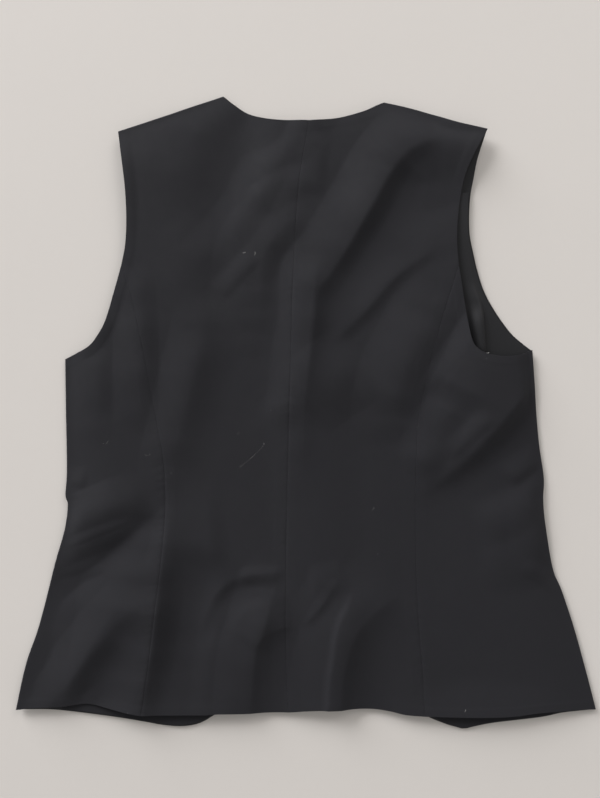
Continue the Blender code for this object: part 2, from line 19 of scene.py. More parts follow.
import bmesh
import bpy
import numpy as np
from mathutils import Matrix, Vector


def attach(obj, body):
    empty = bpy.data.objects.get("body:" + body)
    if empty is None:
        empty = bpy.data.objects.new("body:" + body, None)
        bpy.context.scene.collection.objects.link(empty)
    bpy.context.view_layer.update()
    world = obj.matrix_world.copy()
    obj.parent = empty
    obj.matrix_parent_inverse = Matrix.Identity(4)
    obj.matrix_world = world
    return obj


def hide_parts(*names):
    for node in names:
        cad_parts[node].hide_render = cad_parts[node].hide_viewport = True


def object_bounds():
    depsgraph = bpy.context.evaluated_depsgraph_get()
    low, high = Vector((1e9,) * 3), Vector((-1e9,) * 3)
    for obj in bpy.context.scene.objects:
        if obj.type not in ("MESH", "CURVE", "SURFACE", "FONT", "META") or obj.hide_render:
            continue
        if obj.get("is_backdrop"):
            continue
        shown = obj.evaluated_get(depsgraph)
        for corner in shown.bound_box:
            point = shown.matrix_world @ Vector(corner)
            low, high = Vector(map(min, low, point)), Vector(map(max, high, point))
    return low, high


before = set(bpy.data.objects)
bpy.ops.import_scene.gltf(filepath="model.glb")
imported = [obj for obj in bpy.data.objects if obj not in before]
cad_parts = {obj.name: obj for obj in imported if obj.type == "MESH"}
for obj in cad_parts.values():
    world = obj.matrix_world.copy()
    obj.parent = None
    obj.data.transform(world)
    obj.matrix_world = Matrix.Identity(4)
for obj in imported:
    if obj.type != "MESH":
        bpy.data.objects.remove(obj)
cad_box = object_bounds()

log = logging.getLogger("waistcoat")

Points = np.ndarray  # rows of (across, along)
Heights = np.ndarray  # one height for each point
Place = tuple[float, float]
Colour = tuple[float, float, float]

MM = 0.001
BODY = "root"

# ---------------------------------------------------------------- sizes of the cloth

BACK_THICKNESS = 1.3
FRONT_THICKNESS = 1.5
LINING_THICKNESS = 1.0
SEAM_GAP = 0.3  # between layers that are sewn together
LAID_GAP = 0.8  # under a layer that only lies on another
SEAM_STACK = FRONT_THICKNESS + SEAM_GAP + BACK_THICKNESS

BUTTON_DIAMETER = 15.0
BUTTON_THICKNESS = 1.8
BUTTON_COUNT = 5
TOP_BUTTON_ALONG = 60.0
BUTTON_SPACING = 65.0


# ---------------------------------------------------------------- choices

class Side(Enum):
    """A side of the garment, as its back is looked at."""

    LEFT = "left"
    RIGHT = "right"


class EdgeStyle(Enum):
    """How an edge is sewn: the rounding of its upper and of its lower corner, in millimetres."""

    TURNED = (0.1, 0.5)  # free, turned in and pressed
    SEAMED = (0.16, 0.1)  # sewn to the panel beside it, and dipping into the seam
    FOLDED_OVER = (1.1, 0.1)  # the upper half of a fold that joins two layers
    FOLDED_UNDER = (0.1, 1.2)  # the lower half of it
    FINE = (0.15, 0.42)  # a lining's or a facing's turned edge


class Crest(Enum):
    """How round a crest is: the share of its left-hand and of its right-hand flank over which it turns."""

    SOFT = (1.0, 1.0)
    FIRM = (0.22, 0.22)
    CRISP = (0.1, 0.1)
    BLUNT = (0.45, 0.45)
    LEANING = (0.09, 0.45)
    ROLLED = (0.2, 0.45)
    TRAILING = (1.0, 0.09)
    SHELVING = (1.0, 0.45)


# ---------------------------------------------------------------- cutting lines, (across, along)

LINES: dict[str, list[Place]] = {
    "left_shoulder": [(-176.1, 262.2), (-155.0, 269.3), (-128.6, 278.6), (-104.7, 287.4), (-78.2, 296.6)],
    "right_shoulder": [(169.1, 264.2), (141.8, 270.9), (122.6, 277.3), (96.0, 285.0), (73.0, 290.4)],
    "left_neck": [(-78.2, 296.6), (-69.2, 289.2), (-53.2, 279.4), (-29.3, 273.8), (2.2, 272.6)],
    "right_neck": [(73.0, 290.4), (66.0, 287.4), (53.0, 281.4), (28.7, 275.2), (2.2, 272.6)],
    "left_armhole": [(-173.0, 137.2), (-169.4, 156.0), (-168.0, 182.0), (-169.7, 215.4), (-176.1, 262.2)],
    "left_underarm": [(-227.2, 49.2), (-215.1, 55.3), (-204.0, 61.5), (-196.4, 70.2), (-188.5, 84.2),
                      (-180.7, 109.2), (-173.0, 137.2)],
    "right_armhole": [(142.4, 137.2), (141.0, 156.1), (141.3, 174.9), (143.9, 198.2), (148.3, 221.0),
                      (156.5, 241.0), (169.1, 264.2)],
    "right_underarm": [(212.2, 58.2), (199.5, 53.4), (182.3, 51.8), (168.1, 54.4), (159.6, 58.8),
                       (154.2, 66.2), (150.2, 85.7), (142.4, 137.2)],
    "left_side": [(-272.7, -279.6), (-263.2, -236.0), (-251.8, -201.4), (-237.0, -144.8), (-227.1, -110.5),
                  (-224.3, -87.5), (-226.6, -78.5), (-225.6, -54.9), (-226.6, 3.5), (-227.2, 49.2)],
    "right_side": [(272.5, -280.0), (262.3, -240.8), (251.3, -201.4), (240.2, -168.0), (231.8, -147.0),
                   (224.4, -105.3), (222.6, -82.0), (223.3, -60.9), (218.1, -21.6), (212.2, 58.2)],
    "left_princess": [(-154.0, -283.2), (-145.5, -222.0), (-140.0, -176.4), (-135.0, -130.0),
                      (-132.4, -85.0), (-134.5, -40.0), (-142.7, 2.5), (-151.8, 55.0), (-163.0, 105.0),
                      (-173.0, 137.2)],
    "right_princess": [(110.7, -285.2), (108.8, -245.2), (104.5, -190.0), (102.2, -130.3), (102.0, -60.0),
                       (104.1, -7.8), (112.0, 30.0), (121.0, 69.4), (135.2, 114.6), (142.4, 137.2)],
    "centre_back": [(-17.4, -282.2), (-19.3, -230.0), (-19.3, -135.0), (-16.0, 10.0), (-12.6, 130.0),
                    (-7.0, 215.0), (2.2, 272.6)],
    "left_side_hem": [(-272.7, -279.6), (-252.0, -277.4), (-232.0, -276.4), (-216.0, -274.8),
                      (-205.0, -274.0), (-190.0, -276.8), (-178.0, -279.2), (-168.0, -281.0),
                      (-154.0, -283.2)],
    "left_centre_hem": [(-154.0, -283.2), (-130.0, -284.0), (-96.0, -283.8), (-85.0, -282.9),
                        (-57.0, -282.4), (-17.4, -282.2)],
    "right_centre_hem": [(-17.4, -282.2), (11.8, -279.0), (30.0, -278.2), (60.0, -278.9), (79.0, -281.2),
                         (93.0, -284.0), (110.7, -285.2)],
    "right_side_hem": [(110.7, -285.2), (150.0, -285.6), (178.0, -285.4), (197.6, -284.3), (210.8, -282.6),
                       (224.2, -281.5), (237.5, -280.7), (255.0, -280.1), (272.5, -280.0)],
    "left_front_shoulder": [(-77.0, 295.6), (-104.0, 286.6), (-128.0, 277.2), (-174.6, 260.8)],
    "right_front_shoulder": [(72.6, 289.4), (96.0, 283.8), (122.0, 275.8), (168.4, 262.8)],
    "left_vee": [(14.9, 72.0), (-18.0, 140.0), (-54.0, 226.0), (-77.0, 295.6)],
    "right_vee": [(-15.1, 72.0), (14.0, 140.0), (50.0, 222.0), (72.6, 289.4)],
    "left_front_edge": [(28.2, -229.0), (14.9, 72.0)],
    "right_front_edge": [(-1.8, -229.0), (-15.1, 72.0)],
    "left_front_armhole": [(-226.8, 48.4), (-202.0, 58.0), (-183.0, 80.0), (-169.5, 114.0),
                           (-162.0, 157.0), (-161.0, 195.0), (-165.5, 232.0), (-174.6, 260.8)],
    "right_front_armhole": [(211.8, 57.8), (203.4, 64.3), (192.6, 74.0), (178.8, 92.8), (167.9, 112.3),
                            (161.6, 131.0), (157.2, 149.8), (153.6, 170.0), (154.0, 199.8),
                            (157.2, 220.1), (160.6, 238.0), (168.4, 262.8)],
    "left_front_side": [(-272.1, -279.4), (-262.6, -236.0), (-251.2, -201.4), (-236.4, -144.8),
                        (-226.5, -110.5), (-223.8, -87.5), (-226.0, -78.5), (-225.0, -54.9), (-226.0, 3.5),
                        (-226.8, 48.4)],
    "right_front_side": [(272.0, -280.3), (261.7, -240.8), (250.7, -201.4), (239.6, -168.0),
                         (231.2, -147.0), (223.8, -105.3), (222.0, -82.0), (222.7, -60.9),
                         (217.5, -21.6), (211.8, 57.8)],
    "left_front_hem": [(28.2, -229.0), (-30.0, -256.5), (-80.0, -282.0), (-97.0, -291.9),
                       (-108.0, -295.4), (-121.0, -296.4), (-138.0, -294.8), (-151.0, -292.4),
                       (-187.0, -286.6), (-236.0, -280.8), (-272.1, -279.4)],
    "right_front_hem": [(-1.8, -229.0), (55.0, -257.0), (108.0, -284.4), (130.0, -293.8), (141.0, -297.0),
                        (148.4, -298.8), (157.0, -296.9), (176.0, -293.2), (220.0, -287.9),
                        (240.0, -283.8), (255.0, -282.0), (272.0, -280.3)],
    "lining_outer": [(210.0, 50.0), (206.8, 58.2), (201.2, 62.6), (190.6, 72.0), (177.2, 91.4),
                     (166.0, 111.6), (159.8, 130.4), (155.4, 149.6), (151.8, 170.0), (152.0, 195.0),
                     (152.4, 205.5)],
    "lining_inner": [(140.0, 36.0), (130.0, 90.0), (126.0, 150.0), (129.0, 190.0), (134.0, 205.5)],
    "lining_lower": [(140.0, 36.0), (176.0, 38.0), (210.0, 50.0)],
    "lining_upper": [(134.0, 205.5), (152.4, 205.5)],
    "left_facing_outer": [(-230.0, -279.2), (-187.0, -284.9), (-150.0, -290.9), (-120.0, -294.7),
                          (-98.0, -289.8), (-82.0, -281.2)],
    "left_facing_inner": [(-230.0, -262.0), (-187.0, -262.0), (-147.2, -264.0), (-118.2, -266.0),
                          (-98.0, -266.0), (-82.0, -264.0)],
    "right_facing_outer": [(108.0, -282.6), (131.0, -292.3), (148.4, -296.9), (176.0, -291.5),
                           (206.0, -288.0), (232.0, -284.5)],
    "right_facing_inner": [(108.0, -266.0), (131.0, -268.0), (148.4, -269.0), (176.0, -267.0),
                           (206.0, -265.0), (232.0, -263.0)],
}
SHOULDER_SEAMS = ("left_shoulder", "right_shoulder")
SIDE_SEAMS = ("left_side", "right_side")
RIGHT_ARMHOLE = ("right_armhole", "right_underarm")
LYING_FREE = ("left_neck", "right_neck", "left_armhole", "left_underarm", "left_side_hem",
              "left_centre_hem", "right_centre_hem", "right_side_hem")
FACINGS = ("left_facing_outer", "left_facing_inner", "right_facing_outer", "right_facing_inner")
TURNED_EDGES = LYING_FREE + RIGHT_ARMHOLE
CENTRE_FRONT_TOP = (-0.1, 72.0)
CENTRE_FRONT_FOOT = (13.2, -229.0)


# ---------------------------------------------------------------- lines

LINE_STEP = 1.0  # between the points of a smoothed line
COARSE_STEP = 6  # a coarse line keeps one in so many of them


def smooth_line(knots: Sequence[Place]) -> Points:
    """Draws a curve through chosen points (Catmull-Rom).

    Args:
        knots: The points that the line goes through.

    Returns:
        A close row of points on the curve.
    """
    given = np.array(knots, float)
    padded = np.vstack([2 * given[0] - given[1], given, 2 * given[-1] - given[-2]])
    spans = []
    for a, b, c, d in zip(padded, padded[1:], padded[2:], padded[3:]):
        count = max(2, math.ceil(np.linalg.norm(c - b) / LINE_STEP))
        t = np.linspace(0, 1, count, endpoint=False)[:, None]
        spans.append(0.5 * (2 * b + (c - a) * t + (2 * a - 5 * b + 4 * c - d) * t**2
                            + (3 * b - a - 3 * c + d) * t**3))
    return np.vstack([*spans, given[-1:]])


@cache
def cutting_line(name: str) -> Points:
    """The smooth line of that name in the table of cutting lines."""
    return smooth_line(LINES[name])


@cache
def coarse_line(name: str) -> Points:
    """The same line with fewer points, for distances."""
    line = cutting_line(name)
    return line[np.unique(np.append(np.arange(0, len(line), COARSE_STEP), len(line) - 1))]


def line_length(line: Points) -> float:
    """The length of a row of points."""
    return float(np.linalg.norm(np.diff(line, axis=0), axis=1).sum())


def along(line: Points, shares: np.ndarray) -> Points:
    """Finds places on a line.

    Args:
        line: A row of points.
        shares: How far along the line each place is, as a share of its length.

    Returns:
        The places' points.
    """
    steps = np.linalg.norm(np.diff(line, axis=0), axis=1)
    walked = np.concatenate([[0], np.cumsum(steps)])
    wanted = np.asarray(shares) * walked[-1]
    return np.stack([np.interp(wanted, walked, line[:, k]) for k in (0, 1)], axis=1)


def nearest_on(line: Points, points: Points) -> tuple[np.ndarray, np.ndarray]:
    """Measures from each point to the nearest place on a line.

    Args:
        line: A row of points.
        points: Where to measure from.

    Returns:
        The distances, positive on the line's left hand, and how far along the line that place is, as a
        share.
    """
    starts, ways = line[:-1], np.diff(line, axis=0)
    lengths = np.linalg.norm(ways, axis=1)
    offsets = points[:, None] - starts[None]
    shares = np.clip((offsets * ways).sum(2) / lengths**2, 0, 1)
    distances = np.linalg.norm(offsets - shares[..., None] * ways, axis=2)
    best = distances.argmin(axis=1)
    rows = np.arange(len(points))
    turn = ways[best, 0] * offsets[rows, best, 1] - ways[best, 1] * offsets[rows, best, 0]
    walked = np.concatenate([[0], np.cumsum(lengths)])
    share = (walked[best] + shares[rows, best] * lengths[best]) / walked[-1]
    return distances[rows, best] * np.where(turn < 0, -1, 1), share


def near_line(line: Points, points: Points, reach: float) -> np.ndarray:
    """Which points lie inside the line's box, widened by reach."""
    low, high = line.min(0) - reach, line.max(0) + reach
    return ((points > low) & (points < high)).all(axis=1)


def distance_to(names: Iterable[str], points: Points) -> np.ndarray:
    """The distance from each point to the nearest of some cutting lines."""
    return np.min([np.abs(nearest_on(coarse_line(name), points)[0]) for name in names], axis=0)


def smooth_step(share: np.ndarray) -> np.ndarray:
    """0 below 0, 1 above 1, and an even climb between them."""
    share = np.clip(share, 0, 1)
    return share * share * (3 - 2 * share)


def hump(share: np.ndarray) -> np.ndarray:
    """1 in the middle, and nothing from a share of 1 outwards."""
    return np.clip(1 - share * share, 0, None) ** 2


def swelling(levels: Sequence[float], share: np.ndarray) -> np.ndarray:
    """Runs smoothly from level to level along a line.

    Args:
        levels: The levels, evenly spaced along the line.
        share: How far along the line each place is.

    Returns:
        The level at each place.
    """
    place = np.clip(share, 0, 1) * (len(levels) - 1)
    before = np.minimum(place.astype(int), len(levels) - 2)
    given = np.array(levels, float)
    return given[before] + (given[before + 1] - given[before]) * smooth_step(place - before)


# ---------------------------------------------------------------- relief of the cloth

CREST_STEPS = 48  # the straight steps that a fold's crest is measured in
EVEN_SWELL = (0.0, 1.0, 1.0, 1.0, 0.0)
SHARP_FALL = 3.0  # how fast a flank falls away from a sharp crest
ROUND_EASE = 4.0  # and how much of that a round one loses


class LineRelief(ABC):
    """What raises or lowers the cloth along a line."""

    @abstractmethod
    def course(self) -> tuple[Points, float]:
        """The line, and how far to either side of it the relief reaches."""

    @abstractmethod
    def section(self, distance: np.ndarray, share: np.ndarray) -> Heights:
        """Works out the heights beside the line.

        Args:
            distance: How far from the line each point is, positive on its left hand.
            share: How far along the line each point's nearest place is.

        Returns:
            What the relief adds at each point.
        """

    def height_at(self, points: Points) -> Heights:
        """Works out what the relief adds at each point.

        Args:
            points: Where the cloth is.

        Returns:
            The heights.
        """
        line, reach = self.course()
        added = np.zeros(len(points))
        near = near_line(line, points, reach)
        if near.any():
            added[near] = self.section(*nearest_on(line, points[near]))
        return added


@dataclass(frozen=True)
class Fold(LineRelief):
    """A ridge that follows its crest, or a trough where the height is negative.

    Its flanks are as wide as left_hand and right_hand say, for someone who walks the crest from its start.
    Swell holds shares of the height, evenly spaced along the crest.
    """

    name: str
    crest: Sequence[Place]
    height: float
    left_hand: float
    right_hand: float
    form: Crest = Crest.SOFT
    swell: Sequence[float] = EVEN_SWELL

    def course(self) -> tuple[Points, float]:
        """The crest, and the width of the wider flank."""
        crest = along(smooth_line(self.crest), np.linspace(0, 1, CREST_STEPS + 1))
        return crest, max(self.left_hand, self.right_hand)

    def section(self, distance: np.ndarray, share: np.ndarray) -> Heights:
        """Works out the heights of the two flanks.

        Args:
            distance: How far from the crest each point is, positive on its left hand.
            share: How far along the crest each point's nearest place is.

        Returns:
            What the fold adds at each point.
        """
        left_turn, right_turn = self.form.value
        flank = np.where(distance > 0, self.flank(distance / self.left_hand, left_turn),
                         self.flank(distance / self.right_hand, right_turn))
        return self.height * swelling(self.swell, share) * flank

    def flank(self, distance: np.ndarray, turn: float) -> np.ndarray:
        """Works out the section of one flank.

        Args:
            distance: How far from the crest each point is, as a share of the flank's width.
            turn: The share of the flank over which the crest turns.

        Returns:
            1 on the crest, and nothing from a distance of 1 outwards.
        """
        if turn == 1:
            return hump(distance)
        slope = (np.sqrt(distance**2 + turn**2) - turn) / (math.sqrt(1 + turn**2) - turn)
        return np.clip(1 - slope, 0, None) ** (SHARP_FALL - ROUND_EASE * turn)


@dataclass(frozen=True)
class SewnSeam(LineRelief):
    """What a sewn seam does to the cloth beside it: a ditch, the print of its allowances, and puckers.

    Pull holds how hard the stitches draw the cloth in, evenly spaced along the seam from the hem up. Each
    row of sway is a wave that makes the puckers uneven: how far it shifts them, its pace and its start.
    """

    line: str
    pull: Sequence[float]
    ditch: float = 0.28
    ditch_reach: float = 1.3
    allowance: float = 12.0
    print_height: float = 0.08
    print_step: float = 1.6
    pucker: float = 0.09
    pucker_reach: float = 8.0
    pucker_spacing: float = 8.5
    slant: float = 0.22
    sway: Sequence[tuple[float, float, float]] = ((0.6, 23.0, 0.0), (0.4, 7.3, 1.1))

    def course(self) -> tuple[Points, float]:
        """The seam, and twice its allowance."""
        return cutting_line(self.line)[::2], 2 * self.allowance

    def section(self, distance: np.ndarray, share: np.ndarray) -> Heights:
        """Works out the heights beside the seam.

        Args:
            distance: How far from the seam each point is.
            share: How far along the seam each point's nearest place is.

        Returns:
            What the seam adds at each point.
        """
        beside = np.abs(distance)
        walked = share * line_length(cutting_line(self.line))
        beat = walked / self.pucker_spacing
        for puckers, pace, start in self.sway:
            beat = beat + puckers * np.sin(walked / pace + start)
        drawn = swelling(self.pull, share)
        ripple = np.sin(math.tau * beat + self.slant * beside)
        return (self.print_height * smooth_step((self.allowance - beside) / self.print_step)
                - self.ditch * drawn * np.exp(-((beside / self.ditch_reach) ** 2))
                + self.pucker * drawn * ripple * np.exp(-((beside / self.pucker_reach) ** 2)))


@dataclass(frozen=True)
class TurnedEdge:
    """The step where the cloth that is turned in at a free edge ends."""

    lines: Sequence[str]
    turning: float = 9.0
    print_height: float = 0.12
    print_step: float = 1.8

    def height_at(self, points: Points) -> Heights:
        """What the turning adds at each point."""
        beside = distance_to(self.lines, points)
        return self.print_height * smooth_step((self.turning - beside) / self.print_step)


@dataclass(frozen=True)
class Lift:
    """A round place where the layers stand off the surface."""

    name: str
    across: float
    along: float
    half_width: float
    half_length: float
    height: float
    front_share: float = 1.0  # how much of it the front has

    def height_at(self, points: Points) -> Heights:
        """What the lift adds at each point."""
        shares = (points - (self.across, self.along)) / (self.half_width, self.half_length)
        return self.height * hump(np.linalg.norm(shares, axis=1))


@dataclass(frozen=True)
class Undulation:
    """The uneven ground that pressed cloth never quite loses: smooth noise on a lattice."""

    spacing: float
    height: float
    seed: int
    half_span: float = 340.0
    gain: float = 2.2  # gives back the swing that the smoothing takes

    def height_at(self, points: Points) -> Heights:
        """Works out what the unevenness adds at each point, as a cubic B-spline through the lattice.

        Args:
            points: Where the cloth is.

        Returns:
            The heights.
        """
        count = math.ceil(2 * self.half_span / self.spacing) + 4
        lattice = np.random.default_rng(self.seed).uniform(-1, 1, (count, count))
        spots = (points + self.half_span) / self.spacing + 1
        cells = np.floor(spots).astype(int)
        part = spots - cells
        weights = [np.stack([(1 - t)**3 / 6, (3 * t**3 - 6 * t**2 + 4) / 6,
                             (-3 * t**3 + 3 * t**2 + 3 * t + 1) / 6, t**3 / 6]) for t in part.T]
        total = np.zeros(len(points))
        for i in range(4):
            for j in range(4):
                knot = lattice[np.clip(cells[:, 0] + i - 1, 0, count - 1),
                               np.clip(cells[:, 1] + j - 1, 0, count - 1)]
                total += weights[0][i] * weights[1][j] * knot
        return self.height * self.gain * total


FOLDS: tuple[Fold, ...] = (
    # the yoke and the shoulder blades
    Fold("shoulder_drag", [(166, 256), (148, 254), (132, 256), (116, 255), (103, 249), (90, 239), (76, 220),
                           (62, 194), (46, 167), (33, 146), (20, 127), (10, 113), (6, 95), (4, 78), (1, 50),
                           (-2, 24)],
         6.6, 19, 43, Crest.ROLLED, (0, 0.1, 0.35, 0.85, 1, 0.72, 0.42, 0.28, 0.15, 0)),
    Fold("shoulder_shelf", [(172, 246), (148, 254), (132, 256), (116, 255), (103, 249), (90, 239),
                            (78, 222)], 3.2, 58, 44, Crest.SOFT, (0.4, 0.8, 1, 1, 0.7, 0)),
    Fold("shoulder_rise", [(82, 306), (64, 282), (48, 262), (32, 238), (18, 214)], 1.7, 46, 40, Crest.SOFT,
         (0.5, 0.9, 0.8, 0.4, 0)),
    Fold("blade_fill", [(128, 196), (126, 150), (132, 110), (144, 70), (156, 30), (166, -20)],
         2.4, 42, 110, Crest.SOFT, (0, 0.6, 1, 1, 0.7, 0)),
    Fold("shoulder_hollow", [(166, 214), (138, 215), (114, 205), (94, 186), (80, 162)],
         -1.2, 34, 46, Crest.SOFT, (0, 0.9, 1, 0.7, 0)),
    Fold("spine_drag", [(10, 150), (7, 112), (7, 88), (3, 58), (0, 30), (-3, 5), (-4, -20), (-4, -92)],
         2.9, 28, 36, Crest.LEANING, (0, 0.7, 1, 1, 0.7, 0.4, 0.12, 0)),
    Fold("spine_tail", [(-8, 44), (-18, 14), (-31, -6), (-48, -34)], 0.9, 22, 20, Crest.SOFT,
         (0, 0.5, 1, 0.5, 0)),
    Fold("loin_right", [(58, 53), (42, 42), (28, 33), (15, 24), (4, 16), (-10, 5)],
         3.0, 40, 40, Crest.BLUNT, (0, 0.7, 1, 1, 0.6, 0)),
    Fold("neck_drag", [(14, 284), (0, 267), (-14, 252), (-30, 236), (-44, 218), (-54, 196), (-72, 170),
                       (-92, 147), (-112, 126)], 1.4, 22, 26, Crest.BLUNT, (0.6, 0.8, 1, 1, 1, 0.7, 0)),
    Fold("yoke_rise", [(-98, 300), (-106, 265), (-112, 230), (-118, 195), (-122, 155), (-124, 110),
                       (-126, 60), (-128, 0)], 3.4, 50, 150, Crest.SOFT,
         (0.2, 0.6, 0.9, 1, 0.8, 0.6, 0.35, 0)),
    Fold("yoke_hollow", [(-34, 304), (-46, 270), (-62, 240), (-80, 208), (-98, 176), (-116, 146)],
         -1.7, 38, 50, Crest.SOFT, (0.9, 1, 0.9, 0.7, 0)),
    Fold("yoke_rib", [(4, 224), (-15, 216), (-35, 206), (-56, 194)], 1.0, 22, 16),
    Fold("nape", [(14, 264), (10, 240), (8, 220), (6, 200)], 0.8, 13, 20),
    Fold("blade_left", [(-2, 190), (-18, 178), (-30, 166), (-40, 150), (-44, 130), (-44, 108), (-44, 84),
                        (-46, 46)], 2.9, 19, 46, Crest.BLUNT, (0, 0.6, 1, 1, 0.8, 0.5, 0.2, 0)),
    Fold("rib_left", [(-42, 150), (-58, 134), (-70, 121), (-86, 106)], 0.6, 9, 16),
    Fold("blade_right", [(128, 160), (105, 143), (88, 131), (73, 116), (59, 99), (44, 84), (20, 62)],
         1.7, 13, 34, Crest.FIRM, (0, 0.6, 1, 1, 0.8, 0)),
    Fold("rib_right", [(130, 116), (113, 86), (100, 62), (91, 44), (85, 24), (81, 4), (78, -34)],
         3.7, 28, 40, Crest.BLUNT, (0, 0.45, 0.9, 1, 0.9, 0.35, 0)),
    Fold("armpit_right", [(178, 92), (163, 70), (149, 49), (137, 31), (125, 8)],
         3.9, 58, 26, Crest.SHELVING, (0.3, 0.9, 1, 0.9, 0)),
    Fold("side_sheen", [(142, 18), (130, -2), (121, -20), (110, -42), (96, -60)], 2.0, 22, 28),
    # the right side
    Fold("side_right", [(240, 54), (219, 32), (208, 21), (196, 8), (183, -7), (169, -23), (153, -40),
                        (137, -54), (118, -68), (88, -84)],
         5.6, 24, 66, Crest.ROLLED, (0.6, 1, 1, 0.95, 0.75, 0.4, 0.1, 0)),
    Fold("side_glow", [(206, 12), (184, -6), (164, -24), (144, -42), (124, -56), (96, -70)],
         1.3, 18, 34, Crest.SOFT, (0, 0.7, 1, 1, 0.7, 0)),
    Fold("side_rib", [(178, -2), (160, -14), (143, -30), (128, -46)], 0.7, 9, 14),
    Fold("waist_right", [(236, -38), (214, -47), (199, -57), (185, -68)], 1.6, 11, 20),
    Fold("waist_streak", [(240, -64), (222, -73), (204, -85), (180, -98), (152, -108)], 1.6, 26, 24),
    Fold("hip_swell", [(244, -84), (231, -108), (212, -126), (190, -133), (158, -130)],
         2.4, 40, 60, Crest.SOFT, (0.2, 0.8, 1, 0.6, 0)),
    Fold("hip_streak", [(200, -140), (216, -150), (236, -164), (252, -178)], 0.8, 10, 12),
    # the left side
    Fold("chest_left", [(-162, 140), (-157, 100), (-156, 70), (-156, 40), (-156, 12), (-158, -24)],
         2.1, 18, 26, Crest.BLUNT, (0, 0.6, 1, 1, 0.6, 0)),
    Fold("flank_left", [(-92, 114), (-96, 78), (-103, 48), (-110, 18), (-118, -14), (-126, -46),
                        (-131, -92)], 3.2, 40, 32, Crest.ROLLED, (0, 0.5, 1, 1, 0.7, 0.3, 0)),
    Fold("flank_edge", [(-199, 66), (-198, 36), (-197, 8), (-199, -34)], 1.3, 18, 34, Crest.SOFT,
         (0, 0.8, 1, 0.5, 0)),
    Fold("armhole_lip", [(-176.1, 262.2), (-169.7, 215.4), (-168.0, 182.0), (-169.4, 156.0), (-173.0, 137.2),
                         (-180.7, 109.2), (-188.5, 84.2), (-196.4, 70.2), (-206.0, 61.0)],
         1.1, 12, 6, Crest.SOFT, (0.7, 1, 1, 0.8, 0.4, 0.3, 0.8, 1, 0.6)),
    Fold("waist_notch", [(-204, -66), (-218, -64), (-238, -61)], 0.7, 8, 16),
    Fold("waist_lobe", [(-146, -76), (-168, -83), (-188, -91), (-206, -99), (-222, -105), (-248, -114)],
         2.8, 22, 26, Crest.BLUNT, (0, 0.4, 0.9, 1, 0.7, 0.2)),
    Fold("waist_ripple", [(-158, -104), (-182, -111), (-204, -119), (-230, -131)], 1.0, 18, 10),
    Fold("waist_crinkle", [(-186, -141), (-204, -149), (-220, -155), (-246, -166)], 0.8, 9, 13),
    Fold("waist_valley", [(-134, -92), (-150, -104), (-170, -121), (-192, -140), (-215, -156), (-252, -174)],
         -3.6, 42, 34, Crest.CRISP, (0, 0.8, 1, 1, 0.9, 0.6)),
    Fold("side_valley", [(-228, -170), (-236, -198), (-241, -220), (-247, -242), (-253, -264), (-260, -296)],
         -1.7, 38, 24, Crest.SOFT, (0, 0.6, 1, 1, 1)),
    Fold("waist_fan", [(-150, -168), (-165, -184), (-182, -201), (-197, -220), (-213, -239), (-228, -258),
                       (-243, -276), (-258, -294)], 2.9, 32, 32, Crest.ROLLED, (0, 0.6, 1, 1, 1, 1)),
    Fold("fan_valley", [(-150, -188), (-162, -204), (-174, -222), (-186, -242), (-197, -262), (-208, -290)],
         -3.2, 42, 26, Crest.SOFT, (0, 0.7, 1, 0.9, 0.6)),
    Fold("princess_left", [(-134, -98), (-136, -130), (-139, -160), (-141, -190), (-145, -220), (-151, -250),
                           (-160, -310)], 6.2, 26, 76, Crest.ROLLED, (0, 0.22, 0.6, 1, 1, 0.8, 0.45, 0.35)),
    Fold("princess_hollow", [(-92, -124), (-103, -150), (-109, -180), (-112, -210), (-116, -236),
                             (-120, -262)], -2.6, 30, 34, Crest.SOFT, (0, 0.7, 1, 0.9, 0.4, 0)),
    # the hem
    Fold("waist_ledge", [(-148, -116), (-125, -121), (-100, -123), (-72, -120)], 1.6, 60, 42),
    Fold("hem_left", [(-18, -150), (-31, -166), (-37, -190), (-42, -207), (-48, -225), (-51, -250),
                      (-56, -320)], 4.0, 32, 36, Crest.LEANING, (0, 0.6, 1, 1, 0.8, 0.55, 0.45)),
    Fold("hem_rise", [(-66, -150), (-76, -175), (-82, -205), (-88, -245), (-94, -320)], 1.1, 30, 22),
    Fold("hem_lens", [(-66, -157), (-44, -154), (-22, -156)], 0.8, 12, 10),
    Fold("hem_arch", [(-94, -222), (-84, -194), (-74, -175), (-58, -165), (-36, -161), (-10, -160)],
         -1.6, 12, 22, Crest.SOFT, (0, 0.6, 1, 0.9, 0.6, 0)),
    Fold("hem_pleat", [(-10, -198), (-28, -203), (-40, -209), (-52, -224)], 1.2, 18, 34, Crest.LEANING),
    Fold("hem_small", [(30, -154), (23, -167), (15, -179), (6, -190), (-6, -202)], 1.3, 11, 26,
         Crest.LEANING, (0, 0.7, 1, 0.7, 0)),
    Fold("hem_crease", [(47, -160), (40, -179), (31, -198), (27, -215), (25, -232), (22, -252), (18, -320)],
         1.6, 24, 9, Crest.TRAILING, (0, 0.8, 1, 0.9, 0.9, 0.9)),
    Fold("hem_knob", [(38, -148), (22, -154), (0, -156)], 0.7, 22, 16),
    Fold("hem_droop", [(-72, -285), (-46, -284), (-17, -282), (30, -279), (60, -279), (96, -285)],
         -2.0, 90, 44, Crest.SOFT, (0, 0.8, 1, 1, 0.8, 0)),
    Fold("hem_centre", [(92, -164), (70, -181), (53, -197), (42, -215), (35, -240), (32, -265), (30, -320)],
         4.6, 38, 50, Crest.LEANING, (0, 0.5, 1, 1, 1, 1)),
)

